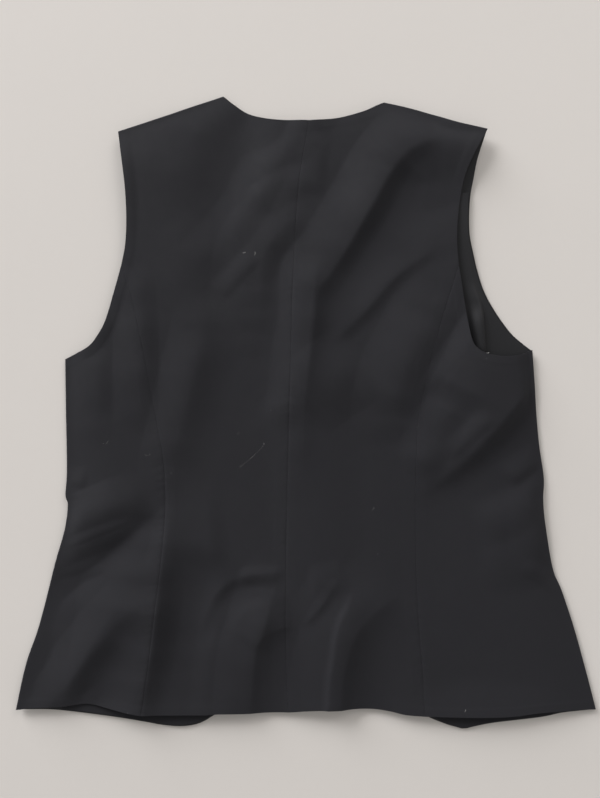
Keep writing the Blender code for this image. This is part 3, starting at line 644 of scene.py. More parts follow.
SEAMS = (
    SewnSeam("centre_back", (0.4, 0.3, 0.6, 0.9, 0.3, 0.5, 1.0, 0.4, 0.8, 0.6, 1.0, 0.7, 0.1, 0.3, 0.9, 0.2,
                             0.2, 0.6, 0.5, 0.1, 0.2)),
    SewnSeam("left_princess", (0.9, 0.8, 0.9, 0.7, 0.9, 1.0, 0.5, 0.3, 0.4, 0.2, 0.2)),
    SewnSeam("right_princess", (0.5, 0.8, 0.7, 0.3, 0.2, 0.15, 0.2, 0.1, 0.1, 0.5, 0.4)),
)

LIFTS = (
    Lift("right_shoulder_edge", 176.0, 256.0, 62.0, 76.0, 6.0, 0.8),
    Lift("left_shoulder", -190.0, 300.0, 130.0, 150.0, 6.0, 1.0),
    Lift("right_shoulder", 112.0, 290.0, 90.0, 70.0, 3.0, 1.0),
    Lift("right_hip", 246.0, -100.0, 70.0, 54.0, 2.2, 0.8),
    Lift("left_waist", -238.0, -110.0, 84.0, 68.0, 2.4, 0.6),
    Lift("left_corner", -286.0, -258.0, 56.0, 84.0, 3.4, 1.0),
    Lift("left_hem", -150.0, -302.0, 108.0, 46.0, 2.8, 0.0),
    Lift("right_hem", 168.0, -304.0, 110.0, 58.0, 4.0, 0.0),
)

UNEVENNESS = (
    Undulation(46.0, 0.28, 11),
    Undulation(19.0, 0.09, 12),
    Undulation(8.0, 0.025, 13),
)


@dataclass(frozen=True)
class Layers:
    """How high each layer of the laid garment lies."""

    loft: float = 3.4
    loft_reach: float = 22.0
    shoulder_reach: float = 9.0
    yoke_reach: float = 70.0
    shoulder_share: float = 0.35  # of the loft, gained beside the shoulder seam
    climb_power: float = 1.6
    free_edge_share: float = 0.8
    free_edge_reach: float = 25.0
    side_pin_reach: float = 9.0
    shoulder_pin_reach: float = 20.0
    blend: float = 0.15  # over which the back comes to rest on the fronts
    front_print: float = 1.7
    front_print_reach: float = 48.0
    fold_depth: float = 1.2
    button_lift: float = BUTTON_THICKNESS + SEAM_GAP
    button_flat: float = 10.0
    button_foot: float = 30.0
    underlap_flat: float = 14.0
    underlap_foot: float = 52.0
    facing_reach: float = 14.0
    facing_foot: float = 14.0
    lining_reach: float = 30.0  # how far in from the right armhole the fronts' stack stays as high
    lining_roll: Fold = Fold("lining_roll", [(150.0, 230.0), (151.0, 190.0), (152.0, 150.0), (156.0, 118.0),
                                             (162.0, 100.0), (164.5, 80.0), (166.0, 57.0), (166.0, 20.0)],
                             5.0, 5.0, 13.0, Crest.SOFT,
                             (0, 0.1, 0.15, 0.2, 0.2, 0.2, 0.5, 1.0, 0.85, 0.3, 0))

    def back_lift(self, points: Points) -> Heights:
        """How far the back stands off the surface."""
        return sum(lift.height_at(points) for lift in LIFTS)

    def front_lift(self, points: Points) -> Heights:
        """How far the fronts stand off the surface."""
        return sum(lift.front_share * lift.height_at(points) for lift in LIFTS)

    def from_centre_front(self, points: Points) -> np.ndarray:
        """Measures from the centre front line.

        Args:
            points: Where to measure from.

        Returns:
            How far to the right of the line each point lies.
        """
        (top_across, top_along), (foot_across, foot_along) = CENTRE_FRONT_TOP, CENTRE_FRONT_FOOT
        lean = (foot_across - top_across) / (foot_along - top_along)
        return points[:, 0] - top_across - (points[:, 1] - top_along) * lean

    def climb(self, distance: np.ndarray, reach: float) -> np.ndarray:
        """The share of the loft that the cloth has gained at a distance from a seam."""
        return 1 - np.exp(-((distance / reach) ** self.climb_power))

    def relief(self, points: Points) -> Heights:
        """Adds up what the back's folds, its unevenness and the lapped fronts under it do.

        Args:
            points: Where the cloth is.

        Returns:
            The heights, before the pinned seams flatten them.
        """
        relief = self.fold_depth * sum(fold.height_at(points) for fold in FOLDS)
        relief += sum(patch.height_at(points) for patch in UNEVENNESS)
        return relief + self.front_print * hump(self.from_centre_front(points) / self.front_print_reach)

    def under_back(self, points: Points) -> Heights:
        """Finds the level at which the back rests on what lies under it.

        Args:
            points: Where the cloth is.

        Returns:
            The lowest level of the back's outer face.
        """
        past_lap = smooth_step((self.from_centre_front(points) - self.underlap_flat) / self.underlap_foot)
        past_lap *= smooth_step((distance_to(RIGHT_ARMHOLE, points) - self.lining_reach) / self.lining_reach)
        left = self.left_front(points) - (FRONT_THICKNESS + SEAM_GAP) * past_lap
        lowest = np.maximum(left, self.right_front(points)) + SEAM_STACK - FRONT_THICKNESS
        past_facing = (distance_to(FACINGS, points) - self.facing_reach) / self.facing_foot
        return lowest + (LAID_GAP + LINING_THICKNESS) * (1 - smooth_step(past_facing))

    def back(self, points: Points) -> Heights:
        """Finds the back's outer face.

        Args:
            points: Where the cloth is.

        Returns:
            Its level: free above its pinned seams, or at rest on what lies under it.
        """
        from_side, from_shoulder = (distance_to(names, points) for names in (SIDE_SEAMS, SHOULDER_SEAMS))
        loft = self.loft * self.climb(from_side, self.loft_reach) * (
            self.shoulder_share * self.climb(from_shoulder, self.shoulder_reach)
            + (1 - self.shoulder_share) * self.climb(from_shoulder, self.yoke_reach))
        near_free_edge = np.exp(-distance_to(LYING_FREE, points) / self.free_edge_reach)
        loft *= 1 - (1 - self.free_edge_share) * near_free_edge
        pinned = 1 - np.exp(-((from_side / self.side_pin_reach) ** 2))
        pinned *= 1 - np.exp(-((from_shoulder / self.shoulder_pin_reach) ** 2))
        sewn = sum(seam.height_at(points) for seam in SEAMS)
        sewn += TurnedEdge(TURNED_EDGES).height_at(points)
        free = SEAM_STACK + loft + pinned * self.relief(points) + sewn + self.back_lift(points)
        return self.blend * np.logaddexp(free / self.blend, self.under_back(points) / self.blend)

    def right_front(self, points: Points) -> Heights:
        """Finds the inner face of the right front, which lies on the surface and on the buttons.

        Args:
            points: Where the cloth is.

        Returns:
            Its level.
        """
        beside = np.abs(self.from_centre_front(points))
        over_buttons = smooth_step((self.button_foot - beside) / (self.button_foot - self.button_flat))
        return FRONT_THICKNESS + self.button_lift * over_buttons + self.front_lift(points)

    def left_front(self, points: Points) -> Heights:
        """Finds the inner face of the left front, which steps up over the edge of the right one.

        Args:
            points: Where the cloth is.

        Returns:
            Its level.
        """
        beside = self.from_centre_front(points)
        climb = smooth_step((beside + self.underlap_foot) / (self.underlap_foot - self.underlap_flat))
        descent = 1 - smooth_step((beside - self.button_flat) / (self.button_foot - self.button_flat))
        stack = FRONT_THICKNESS + SEAM_GAP
        return FRONT_THICKNESS + climb * (stack + self.button_lift * descent) + self.front_lift(points)

    def lining(self, points: Points) -> Heights:
        """The bared lining, which lies on the right front and rolls up beside its hollow."""
        flat = self.right_front(points) + LAID_GAP + LINING_THICKNESS
        return flat + self.lining_roll.height_at(points)

    def facing(self, side: Side, points: Points) -> Heights:
        """The hem facing on the inside of one front."""
        front = self.left_front if side is Side.LEFT else self.right_front
        return front(points) + LAID_GAP + LINING_THICKNESS


# ---------------------------------------------------------------- node trees

MIX_FIRST, MIX_SECOND, MIX_RESULT = 6, 7, 2  # the colour sockets of a Mix node


class Graph:
    """Adds nodes to one node tree and links them."""

    def __init__(self, tree: bpy.types.NodeTree) -> None:
        """Starts on a tree."""
        self.tree = tree

    def add(self, kind: str, inputs: dict[Any, Any] | None = None, **settings: Any) -> bpy.types.Node:
        """Adds one node.

        Args:
            kind: The node's Blender type.
            inputs: For each input socket, the socket that feeds it or its value.
            **settings: The node's own properties.

        Returns:
            The node.
        """
        node = self.tree.nodes.new(kind)
        for name, value in settings.items():
            setattr(node, name, value)
        for socket, value in (inputs or {}).items():
            if isinstance(value, bpy.types.NodeSocket):
                self.tree.links.new(value, node.inputs[socket])
            else:
                node.inputs[socket].default_value = value
        return node

    def math(self, operation: str, first: Any, second: Any = 0.0, third: Any = 0.0) -> bpy.types.NodeSocket:
        """Adds a Math node and returns its result."""
        return self.add("ShaderNodeMath", {0: first, 1: second, 2: third}, operation=operation).outputs[0]

    def product(self, first: Any, second: Any) -> bpy.types.NodeSocket:
        """Multiplies two values."""
        return self.math("MULTIPLY", first, second)

    def spread(self, value: Any, low: float, high: float, to_low: float, to_high: float
               ) -> bpy.types.NodeSocket:
        """Maps one range of values onto another, and clamps it.

        Args:
            value: The socket or the number that is mapped.
            low: Where the first range starts.
            high: Where it ends.
            to_low: What its start becomes.
            to_high: What its end becomes.

        Returns:
            The mapped value.
        """
        node = self.add("ShaderNodeMapRange", {"Value": value, "From Min": low, "From Max": high,
                                               "To Min": to_low, "To Max": to_high})
        return node.outputs["Result"]

    def noise(self, position: bpy.types.NodeSocket, **inputs: Any) -> bpy.types.NodeSocket:
        """Adds a noise texture and returns its grey value."""
        return self.add("ShaderNodeTexNoise", {"Vector": position, **inputs}).outputs["Fac"]


class Effect(Graph):
    """A shader node group with named inputs and outputs, shared by several materials."""

    def __init__(self, name: str, outputs: Sequence[str], inputs: dict[str, float]) -> None:
        """Starts the group.

        Args:
            name: Its name.
            outputs: The names of its outputs, all numbers.
            inputs: The default of each of its inputs, beside the position.
        """
        super().__init__(bpy.data.node_groups.new(name, "ShaderNodeTree"))
        sockets = self.tree.interface
        sockets.new_socket("Position", in_out="INPUT", socket_type="NodeSocketVector")
        for label, value in inputs.items():
            sockets.new_socket(label, in_out="INPUT", socket_type="NodeSocketFloat").default_value = value
        for label in outputs:
            sockets.new_socket(label, in_out="OUTPUT", socket_type="NodeSocketFloat")
        self.given = self.add("NodeGroupInput").outputs
        self.position = self.given["Position"]
        self.results = self.add("NodeGroupOutput").inputs

    def put_out(self, label: str, value: bpy.types.NodeSocket) -> None:
        """Links a value to one of the outputs."""
        self.tree.links.new(value, self.results[label])


@cache
def weave_group() -> bpy.types.NodeTree:
    """Makes warp and weft threads that pass over and under each other in a two-and-two twill.

    Returns:
        The group.
    """
    weave = Effect("twill_weave", ("Height", "Gap"), {"Threads per metre": 2400.0, "Unevenness": 0.3})
    wander = weave.math("SUBTRACT", weave.noise(weave.position, Scale=160.0), 0.5)
    offset = weave.product(wander, weave.product(weave.given["Unevenness"], 6.0))
    place = weave.add("ShaderNodeSeparateXYZ", {0: weave.position}).outputs
    pace = weave.given["Threads per metre"]
    warp_place, weft_place = (weave.math("ADD", weave.product(place[axis], pace), offset) for axis in "XY")
    warp, weft = (weave.math("ABSOLUTE", weave.math("SINE", weave.product(thread, math.pi)))
                  for thread in (warp_place, weft_place))
    step = weave.math("ADD", weave.math("FLOOR", warp_place), weave.math("FLOOR", weft_place))
    warp_over = weave.math("LESS_THAN", weave.math("FLOORED_MODULO", step, 4.0), 2.0)
    weft_part = weave.product(weft, weave.math("SUBTRACT", 1.0, warp_over))
    height = weave.math("ADD", weave.product(warp, warp_over), weft_part)
    weave.put_out("Height", height)
    # Gap marks the low places between the threads, where the cloth's material paints shade
    weave.put_out("Gap", weave.spread(height, 0.0, 0.5, 1.0, 0.0))
    return weave.tree


@cache
def mottle_group() -> bpy.types.NodeTree:
    """Makes slow changes of shade over the cloth, from dyeing, pressing and wear.

    Returns:
        The group.
    """
    mottle = Effect("mottle", ("Shade",), {"Amount": 0.1})
    broad = mottle.noise(mottle.position, Scale=14.0, Detail=3.0)
    small = mottle.noise(mottle.position, Scale=120.0, Detail=4.0, Roughness=0.65)
    mixed = mottle.math("ADD", mottle.product(broad, 0.55), mottle.product(small, 0.45))
    swing = mottle.product(mottle.math("SUBTRACT", mixed, 0.5), mottle.given["Amount"])
    mottle.put_out("Shade", mottle.math("MULTIPLY_ADD", swing, 2.0, 1.0))
    return mottle.tree


@cache
def nap_group() -> bpy.types.NodeTree:
    """Makes the fine loose fibre ends that stand on woven cloth.

    Returns:
        The group.
    """
    nap = Effect("nap", ("Height",), {"Fibre scale": 1500.0})
    nap.put_out("Height", nap.noise(nap.position, Scale=nap.given["Fibre scale"], Detail=5.0, Roughness=0.7,
                                    Distortion=1.2))
    return nap.tree


@cache
def dust_group() -> bpy.types.NodeTree:
    """Makes sparse specks of pale dust: round spots in a few of the cells of a Voronoi pattern.

    Returns:
        The group.
    """
    dust = Effect("dust", ("Mask",), {"Cells per metre": 150.0, "Share of cells": 0.03, "Speck size": 0.05})
    cells = dust.add("ShaderNodeTexVoronoi", {"Vector": dust.position,
                                              "Scale": dust.given["Cells per metre"]})
    chance = dust.add("ShaderNodeSeparateColor", {0: cells.outputs["Color"]}).outputs["Red"]
    chosen = dust.math("LESS_THAN", chance, dust.given["Share of cells"])
    spot = dust.math("LESS_THAN", cells.outputs["Distance"], dust.given["Speck size"])
    dust.put_out("Mask", dust.product(chosen, spot))
    return dust.tree


# ---------------------------------------------------------------- finishes

class Surface(Graph):
    """A material: its nodes, its shader and the place on the surface that its effects start from."""

    def __init__(self, name: str) -> None:
        """Starts the material.

        Args:
            name: Its name.
        """
        self.material = bpy.data.materials.new(name)
        self.material.use_nodes = True
        super().__init__(self.material.node_tree)
        self.shader = self.tree.nodes["Principled BSDF"]
        self.position = self.add("ShaderNodeTexCoord").outputs["Object"]

    def feed(self, socket: str, value: bpy.types.NodeSocket) -> None:
        """Links a value to one of the shader's sockets."""
        self.tree.links.new(value, self.shader.inputs[socket])

    def hold(self, **constants: Any) -> None:
        """Sets constants on the shader's sockets, whose names have _ for each space."""
        for name, value in constants.items():
            self.shader.inputs[name.replace("_", " ")].default_value = value

    def effect(self, group: bpy.types.NodeTree, **values: float) -> bpy.types.bpy_prop_collection:
        """Places a shared group in the material.

        Args:
            group: The group.
            **values: Its inputs beside the position, with _ for each space in their names.

        Returns:
            The outputs of the group's node.
        """
        node = self.add("ShaderNodeGroup", node_tree=group)
        self.tree.links.new(self.position, node.inputs["Position"])
        for name, value in values.items():
            node.inputs[name.replace("_", " ")].default_value = value
        return node.outputs

    def mixed(self, share: bpy.types.NodeSocket, first: bpy.types.NodeSocket | Colour,
              second: Colour) -> bpy.types.NodeSocket:
        """Mixes two colours.

        Args:
            share: How much of the second one is taken.
            first: The first colour, or the socket that gives it.
            second: The second colour.

        Returns:
            The mixed colour.
        """
        start = first if isinstance(first, bpy.types.NodeSocket) else (*first, 1.0)
        node = self.add("ShaderNodeMix", {"Factor": share, MIX_FIRST: start, MIX_SECOND: (*second, 1.0)},
                        data_type="RGBA")
        return node.outputs[MIX_RESULT]

    def scaled_colour(self, colour: Colour, shade: bpy.types.NodeSocket) -> bpy.types.NodeSocket:
        """A colour that a shade makes lighter and darker."""
        return self.add("ShaderNodeMix", {"Factor": 1.0, MIX_FIRST: (*colour, 1.0), MIX_SECOND: shade},
                        data_type="RGBA", blend_type="MULTIPLY").outputs[MIX_RESULT]


@dataclass(frozen=True)
class ClothFinish:
    """A woven cloth: its colour, how its threads lie and how it takes the light."""

    name: str
    colour: Colour
    roughness: float
    sheen: float
    sheen_roughness: float
    specular: float
    threads_per_metre: float
    thread_relief: float  # in metres
    nap_relief: float  # in metres
    mottle: float
    dust_share: float
    dust_colour: Colour = (0.13, 0.13, 0.135)
    sheen_colour: Colour = (0.9, 0.92, 1.0)
    # painted shade: how dark the colour is made in the gaps between the threads, where shade falls
    painted_gap_shade: float = 0.72  # how dark the gaps between the threads are
    bump: float = 0.6

    def material(self) -> bpy.types.Material:
        """Makes the cloth's material.

        Returns:
            The material.
        """
        surface = Surface(self.name)
        weave = surface.effect(weave_group(), Threads_per_metre=self.threads_per_metre)
        shade = surface.effect(mottle_group(), Amount=self.mottle)["Shade"]
        nap = surface.effect(nap_group())["Height"]
        dust = surface.effect(dust_group(), Share_of_cells=self.dust_share)["Mask"]

        # painted shade: the colour is darkened in the low gaps between the threads, on top of the random mottle
        depth = surface.spread(weave["Gap"], 0.0, 1.0, 1.0, self.painted_gap_shade)
        scaled_colour = surface.scaled_colour(self.colour, surface.product(shade, depth))
        surface.feed("Base Color", surface.mixed(dust, scaled_colour, self.dust_colour))
        matt = surface.product(shade, self.roughness)
        surface.feed("Roughness", surface.math("MINIMUM", matt, 1.0))

        fibres = surface.add("ShaderNodeBump", {"Height": nap, "Strength": self.bump,
                                                "Distance": self.nap_relief})
        threads = surface.add("ShaderNodeBump", {"Height": weave["Height"], "Strength": self.bump,
                                                 "Distance": self.thread_relief,
                                                 "Normal": fibres.outputs["Normal"]})
        surface.feed("Normal", threads.outputs["Normal"])
        surface.hold(Specular_IOR_Level=self.specular, Sheen_Weight=self.sheen,
                     Sheen_Roughness=self.sheen_roughness, Sheen_Tint=(*self.sheen_colour, 1.0))
        return surface.material


@dataclass(frozen=True)
class HornFinish:
    """Polished black button stock with faint streaks."""

    name: str = "button_horn"
    dark: Colour = (0.012, 0.012, 0.013)
    pale: Colour = (0.03, 0.028, 0.027)
    roughness: float = 0.28
    mottle: float = 0.3

    def material(self) -> bpy.types.Material:
        """Makes the buttons' material.

        Returns:
            The material.
        """
        surface = Surface(self.name)
        streaks = surface.noise(surface.position, Scale=260.0, Detail=3.0, Distortion=2.0)
        share = surface.spread(streaks, 0.45, 0.7, 0, 1)
        surface.feed("Base Color", surface.mixed(share, self.dark, self.pale))
        shade = surface.effect(mottle_group(), Amount=self.mottle)["Shade"]
        surface.feed("Roughness", surface.product(shade, self.roughness))
        return surface.material


@dataclass(frozen=True)
class PlainFinish:
    """One colour with a little mottle: sewing thread, a loose fibre, or the studio's floor."""

    name: str
    colour: Colour
    roughness: float = 0.7
    mottle: float = 0.4
    specular: float = 0.5

    def material(self) -> bpy.types.Material:
        """Makes the material.

        Returns:
            The material.
        """
        surface = Surface(self.name)
        shade = surface.effect(mottle_group(), Amount=self.mottle)["Shade"]
        surface.feed("Base Color", surface.scaled_colour(self.colour, shade))
        surface.hold(Roughness=self.roughness, Specular_IOR_Level=self.specular)
        return surface.material


SUITING = ClothFinish("black_suiting", (0.0116, 0.0113, 0.0146), 0.85, 0.3, 0.3, 0.36,
                      2300.0, 0.00006, 0.00005, 0.16, 0.02)
LINING = ClothFinish("black_lining", (0.012, 0.012, 0.014), 0.48, 0.05, 0.3, 0.32,
                     4200.0, 0.00002, 0.00001, 0.08, 0.0)
HORN = HornFinish()
THREAD = PlainFinish("black_thread", (0.014, 0.014, 0.016))
LINT = PlainFinish("pale_lint", (0.42, 0.41, 0.4), 0.9)
FLOOR = PlainFinish("pale_floor", (0.66, 0.625, 0.595), 0.6, 0.02, 0.2)


@dataclass(frozen=True)
class Finishes:
    """The materials of all the pieces."""

    suiting: bpy.types.Material
    lining: bpy.types.Material
    horn: bpy.types.Material
    thread: bpy.types.Material
    lint: bpy.types.Material

    @classmethod
    def made(cls) -> "Finishes":
        """Makes each of the materials once."""
        return cls(*(finish.material() for finish in (SUITING, LINING, HORN, THREAD, LINT)))


# ---------------------------------------------------------------- panels

RIM = (0.05, 0.18, 0.4, 0.75, 1.25)  # where the extra grid lines inside an edge lie
RIM_FILL = 0.8  # the most of the first cell that they take up


def placed(name: str, data: bpy.types.ID) -> bpy.types.Object:
    """Makes an object and links it to the scene.

    Args:
        name: Its name.
        data: Its mesh, curve, light or camera.

    Returns:
        The object.
    """
    made = bpy.data.objects.new(name, data)
    bpy.context.scene.collection.objects.link(made)
    return made


def grid_shares(length: float, count: int, starts: bool = True, ends: bool = True) -> np.ndarray:
    """Divides a line evenly, with a few more grid lines just inside the ends of an edge.

    Args:
        length: The line's length.
        count: How many cells lie along it.
        starts: Whether the edge starts with this line.
        ends: Whether the edge ends with it.

    Returns:
        The shares of its length where the grid meets it. A line that goes on from another has no 0.
    """
    rim = np.array(RIM) / max(length, RIM[-1] * count / RIM_FILL)
    start = [[0.0], rim] if starts else []
    end = [1 - rim[::-1]] if ends else []
    return np.concatenate([*start, np.arange(1, count) / count, *end, [1.0]])


@dataclass
class Edge:
    """One edge of a panel: its points, and how each stretch between two of them is sewn."""

    points: Points
    styles: list[EdgeStyle]

    def reversed(self) -> "Edge":
        """The same edge from its other end."""
        return Edge(self.points[::-1], self.styles[::-1])

    def shares(self) -> np.ndarray:
        """How far along the edge each of its points is."""
        walked = np.concatenate([[0], np.cumsum(np.linalg.norm(np.diff(self.points, axis=0), axis=1))])
        return walked / walked[-1]

    def drop(self, points: Points, corner: int) -> np.ndarray:
        """How far the edge's rounding takes the cloth's face in at each point.

        Args:
            points: Where the face is.
            corner: 0 for the upper corner and 1 for the lower one.

        Returns:
            The distances, in millimetres.
        """
        dropped = np.zeros(len(points))
        for style in set(self.styles):
            radius = style.value[corner]
            chosen = [k for k, own in enumerate(self.styles) if own is style]
            run = self.points[chosen[0]:chosen[-1] + 2]
            near = near_line(run, points, radius)
            if near.any():
                inside = np.abs(nearest_on(run, points[near])[0])
                slack = np.clip(radius - inside, 0, None)
                dropped[near] = np.maximum(dropped[near], radius - np.sqrt(radius**2 - slack**2))
        return dropped


def sewn_edge(names: Sequence[str], cells: Sequence[int], style: EdgeStyle | Sequence[EdgeStyle],
              shift: float = 0.0) -> Edge:
    """Divides one edge of a panel for its grid.

    Args:
        names: The cutting lines that it follows, end to end.
        cells: How many cells lie along each of them. A single line takes them all.
        style: How it is sewn, all along or for each of the lines.
        shift: How far across the edge is moved.

    Returns:
        The edge.
    """
    counts = list(cells) if len(names) > 1 else [sum(cells)]
    styles = [style] * len(names) if isinstance(style, EdgeStyle) else list(style)
    points, sewn = [], []
    for place, (name, count, own) in enumerate(zip(names, counts, styles)):
        line = cutting_line(name)
        shares = grid_shares(line_length(line), count, place == 0, place == len(names) - 1)
        points.append(along(line, shares))
        sewn += [own] * (len(shares) - (place == 0))
    return Edge(np.vstack(points) + (shift, 0), sewn)


def close_corners(foot: Edge, head: Edge, start: Edge, end: Edge) -> None:
    """Makes four edges meet at their corners, where their lines differ by the width of a seam."""
    foot.points[0], foot.points[-1] = start.points[0], end.points[0]
    head.points[0], head.points[-1] = start.points[-1], end.points[-1]


def grid_between(foot: Edge, head: Edge, start: Edge, end: Edge) -> np.ndarray:
    """Fills four edges with a grid (a Coons patch).

    Args:
        foot: The lowest row.
        head: The highest row.
        start: The first column.
        end: The last column.

    Returns:
        The grid's points, by row and column.
    """
    u = ((foot.shares() + head.shares()) / 2)[None, :, None]
    v = ((start.shares() + end.shares()) / 2)[:, None, None]
    low, high, first, last = foot.points, head.points, start.points, end.points
    ruled = (1 - v) * low[None] + v * high[None] + (1 - u) * first[:, None] + u * last[:, None]
    corners = ((1 - u) * (1 - v) * low[0] + u * (1 - v) * low[-1]
               + (1 - u) * v * high[0] + u * v * high[-1])
    return ruled - corners


@dataclass
class Panel:
    """A piece of cloth cut to four edges, with a closed wall and rounded edges."""

    name: str
    foot: Edge
    head: Edge
    start: Edge
    end: Edge
    thickness: float
    upper_face: bpy.types.Material
    lower_face: bpy.types.Material
    grid: np.ndarray = field(init=False)

    def __post_init__(self) -> None:
        """Lays the grid."""
        close_corners(self.foot, self.head, self.start, self.end)
        self.grid = grid_between(self.foot, self.head, self.start, self.end)

    def flat_size(self) -> tuple[float, float]:
        """The width and length of the flat cut, in metres."""
        width, length = np.ptp(self.grid.reshape(-1, 2), axis=0)
        return float(width) * MM, float(length) * MM

    def corners(self, top_of: Callable[[Points], Heights]) -> np.ndarray:
        """Places the corners of the upper face, then those of the lower one.

        Args:
            top_of: Gives the height of the upper face at plan points.

        Returns:
            The places, in metres.
        """
        plan = self.grid.reshape(-1, 2)
        top = top_of(plan)
        edges = (self.foot, self.head, self.start, self.end)
        upper = top - np.max([edge.drop(plan, 0) for edge in edges], axis=0)
        lower = top - self.thickness + np.max([edge.drop(plan, 1) for edge in edges], axis=0)
        return np.vstack([np.column_stack([plan, upper]), np.column_stack([plan, lower])]) * MM

    def faces(self) -> tuple[np.ndarray, np.ndarray]:
        """Joins the corners' numbers to faces.

        Returns:
            The faces, and the material slot of each.
        """
        rows, columns = self.grid.shape[:2]
        below = rows * columns
        index = np.arange(below).reshape(rows, columns)
        quads = np.stack([index[:-1, :-1], index[:-1, 1:], index[1:, 1:], index[1:, :-1]], axis=-1)
        quads = quads.reshape(-1, 4)
        rim = np.concatenate([index[0, :-1], index[:-1, -1], index[-1, :0:-1], index[:0:-1, 0]])
        after = np.roll(rim, -1)
        walls = np.stack([rim, rim + below, after + below, after], axis=-1)
        slots = np.repeat([0, 1, 0], [len(quads), len(quads), len(walls)])
        return np.vstack([quads, quads[:, ::-1] + below, walls]), slots

    def build(self, top_of: Callable[[Points], Heights], node: str, slot: str,
              rests_on: Sequence[str]) -> bpy.types.Object:
        """Makes the piece, hides the solid that it stands for, and logs how it was cut.

        Args:
            top_of: Gives the height of its upper face at plan points.
            node: The solid that it stands for.
            slot: Not used.
            rests_on: Not used.

        Returns:
            The piece.
        """
        faces, slots = self.faces()
        mesh = bpy.data.meshes.new(self.name)
        mesh.from_pydata(self.corners(top_of).tolist(), [], faces.tolist())
        mesh.materials.append(self.upper_face)
        mesh.materials.append(self.lower_face)
        mesh.polygons.foreach_set("material_index", slots.astype(np.int32))
        shaped = bmesh.new()
        shaped.from_mesh(mesh)
        bmesh.ops.recalc_face_normals(shaped, faces=shaped.faces)
        shaped.to_mesh(mesh)
        shaped.free()
        mesh.shade_smooth()
        piece = placed(self.name, mesh)

        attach(piece, BODY)
        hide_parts(node)
        width, length = self.flat_size()
        log.info("%s: cut %.0f x %.0f mm, %d faces", self.name, width / MM, length / MM, len(faces))
        return piece


@dataclass
class Back:
    """The four panels of the back, joined at the centre seam and at two princess seams."""

    finishes: Finishes
    layers: Layers
    centre_columns: tuple[int, int] = (50, 35)
    centre_rows: tuple[int, int] = (220, 66)
    side_columns: int = 60
    side_rows: int = 286
    seam_half_gap: float = 0.02

    def build(self) -> list[bpy.types.Object]:
        """Makes the four panels."""
        return [piece for side in Side for piece in (self.centre_panel(side), self.side_panel(side))]

    def towards_centre(self, side: Side) -> float:
        """How far a panel of that side is moved to clear a seam on its inner side."""
        return -self.seam_half_gap if side is Side.LEFT else self.seam_half_gap

    def centre_panel(self, side: Side) -> bpy.types.Object:
        """Makes the panel between the centre seam and a princess seam.

        Args:
            side: Which of the two.

        Returns:
            The piece.
        """
        label, inward = side.value, self.towards_centre(side)
        turned, seamed, folded = EdgeStyle.TURNED, EdgeStyle.SEAMED, EdgeStyle.FOLDED_OVER
        outer = sewn_edge((f"{label}_princess", f"{label}_armhole"), self.centre_rows, (seamed, turned),
                          -inward)
        spine = sewn_edge(("centre_back",), self.centre_rows, seamed, inward)
        head = sewn_edge((f"{label}_shoulder", f"{label}_neck"), self.centre_columns, (folded, turned))
        hem = sewn_edge((f"{label}_centre_hem",), self.centre_columns, turned)
        return self.panel(f"centre_{label}", side, hem, head, outer, spine, ("front_left", "front_right"))

    def side_panel(self, side: Side) -> bpy.types.Object:
        """Makes the panel between a princess seam and the side seam.

        Args:
            side: Which of the two.

        Returns:
            The piece.
        """
        label = side.value
        outer = sewn_edge((f"{label}_side",), (self.side_rows,), EdgeStyle.FOLDED_OVER)
        inner = sewn_edge((f"{label}_princess",), (self.side_rows,), EdgeStyle.SEAMED,
                          self.towards_centre(side))
        head = sewn_edge((f"{label}_underarm",), (self.side_columns,), EdgeStyle.TURNED)
        hem = sewn_edge((f"{label}_side_hem",), (self.side_columns,), EdgeStyle.TURNED)
        return self.panel(f"side_{label}", side, hem, head, outer, inner, (f"front_{label}",))

    def panel(self, place: str, side: Side, hem: Edge, head: Edge, outer: Edge, inner: Edge,
              rests_on: Sequence[str]) -> bpy.types.Object:
        """Makes one panel.

        Args:
            place: Where it is, as its names say it.
            side: The side of the garment that it is on.
            hem: Its edge at the hem, which runs from the left.
            head: Its highest edge, which runs from its outer side.
            outer: The edge on its outer side.
            inner: The edge on its inner side.
            rests_on: The fronts that it lies on.

        Returns:
            The piece.
        """
        foot = hem.reversed() if side is Side.RIGHT else hem
        panel = Panel(f"back_panel_{place}", foot, head, outer, inner, BACK_THICKNESS,
                      self.finishes.suiting, self.finishes.lining)
        return panel.build(self.layers.back, f"back_{place}", "suiting", rests_on)


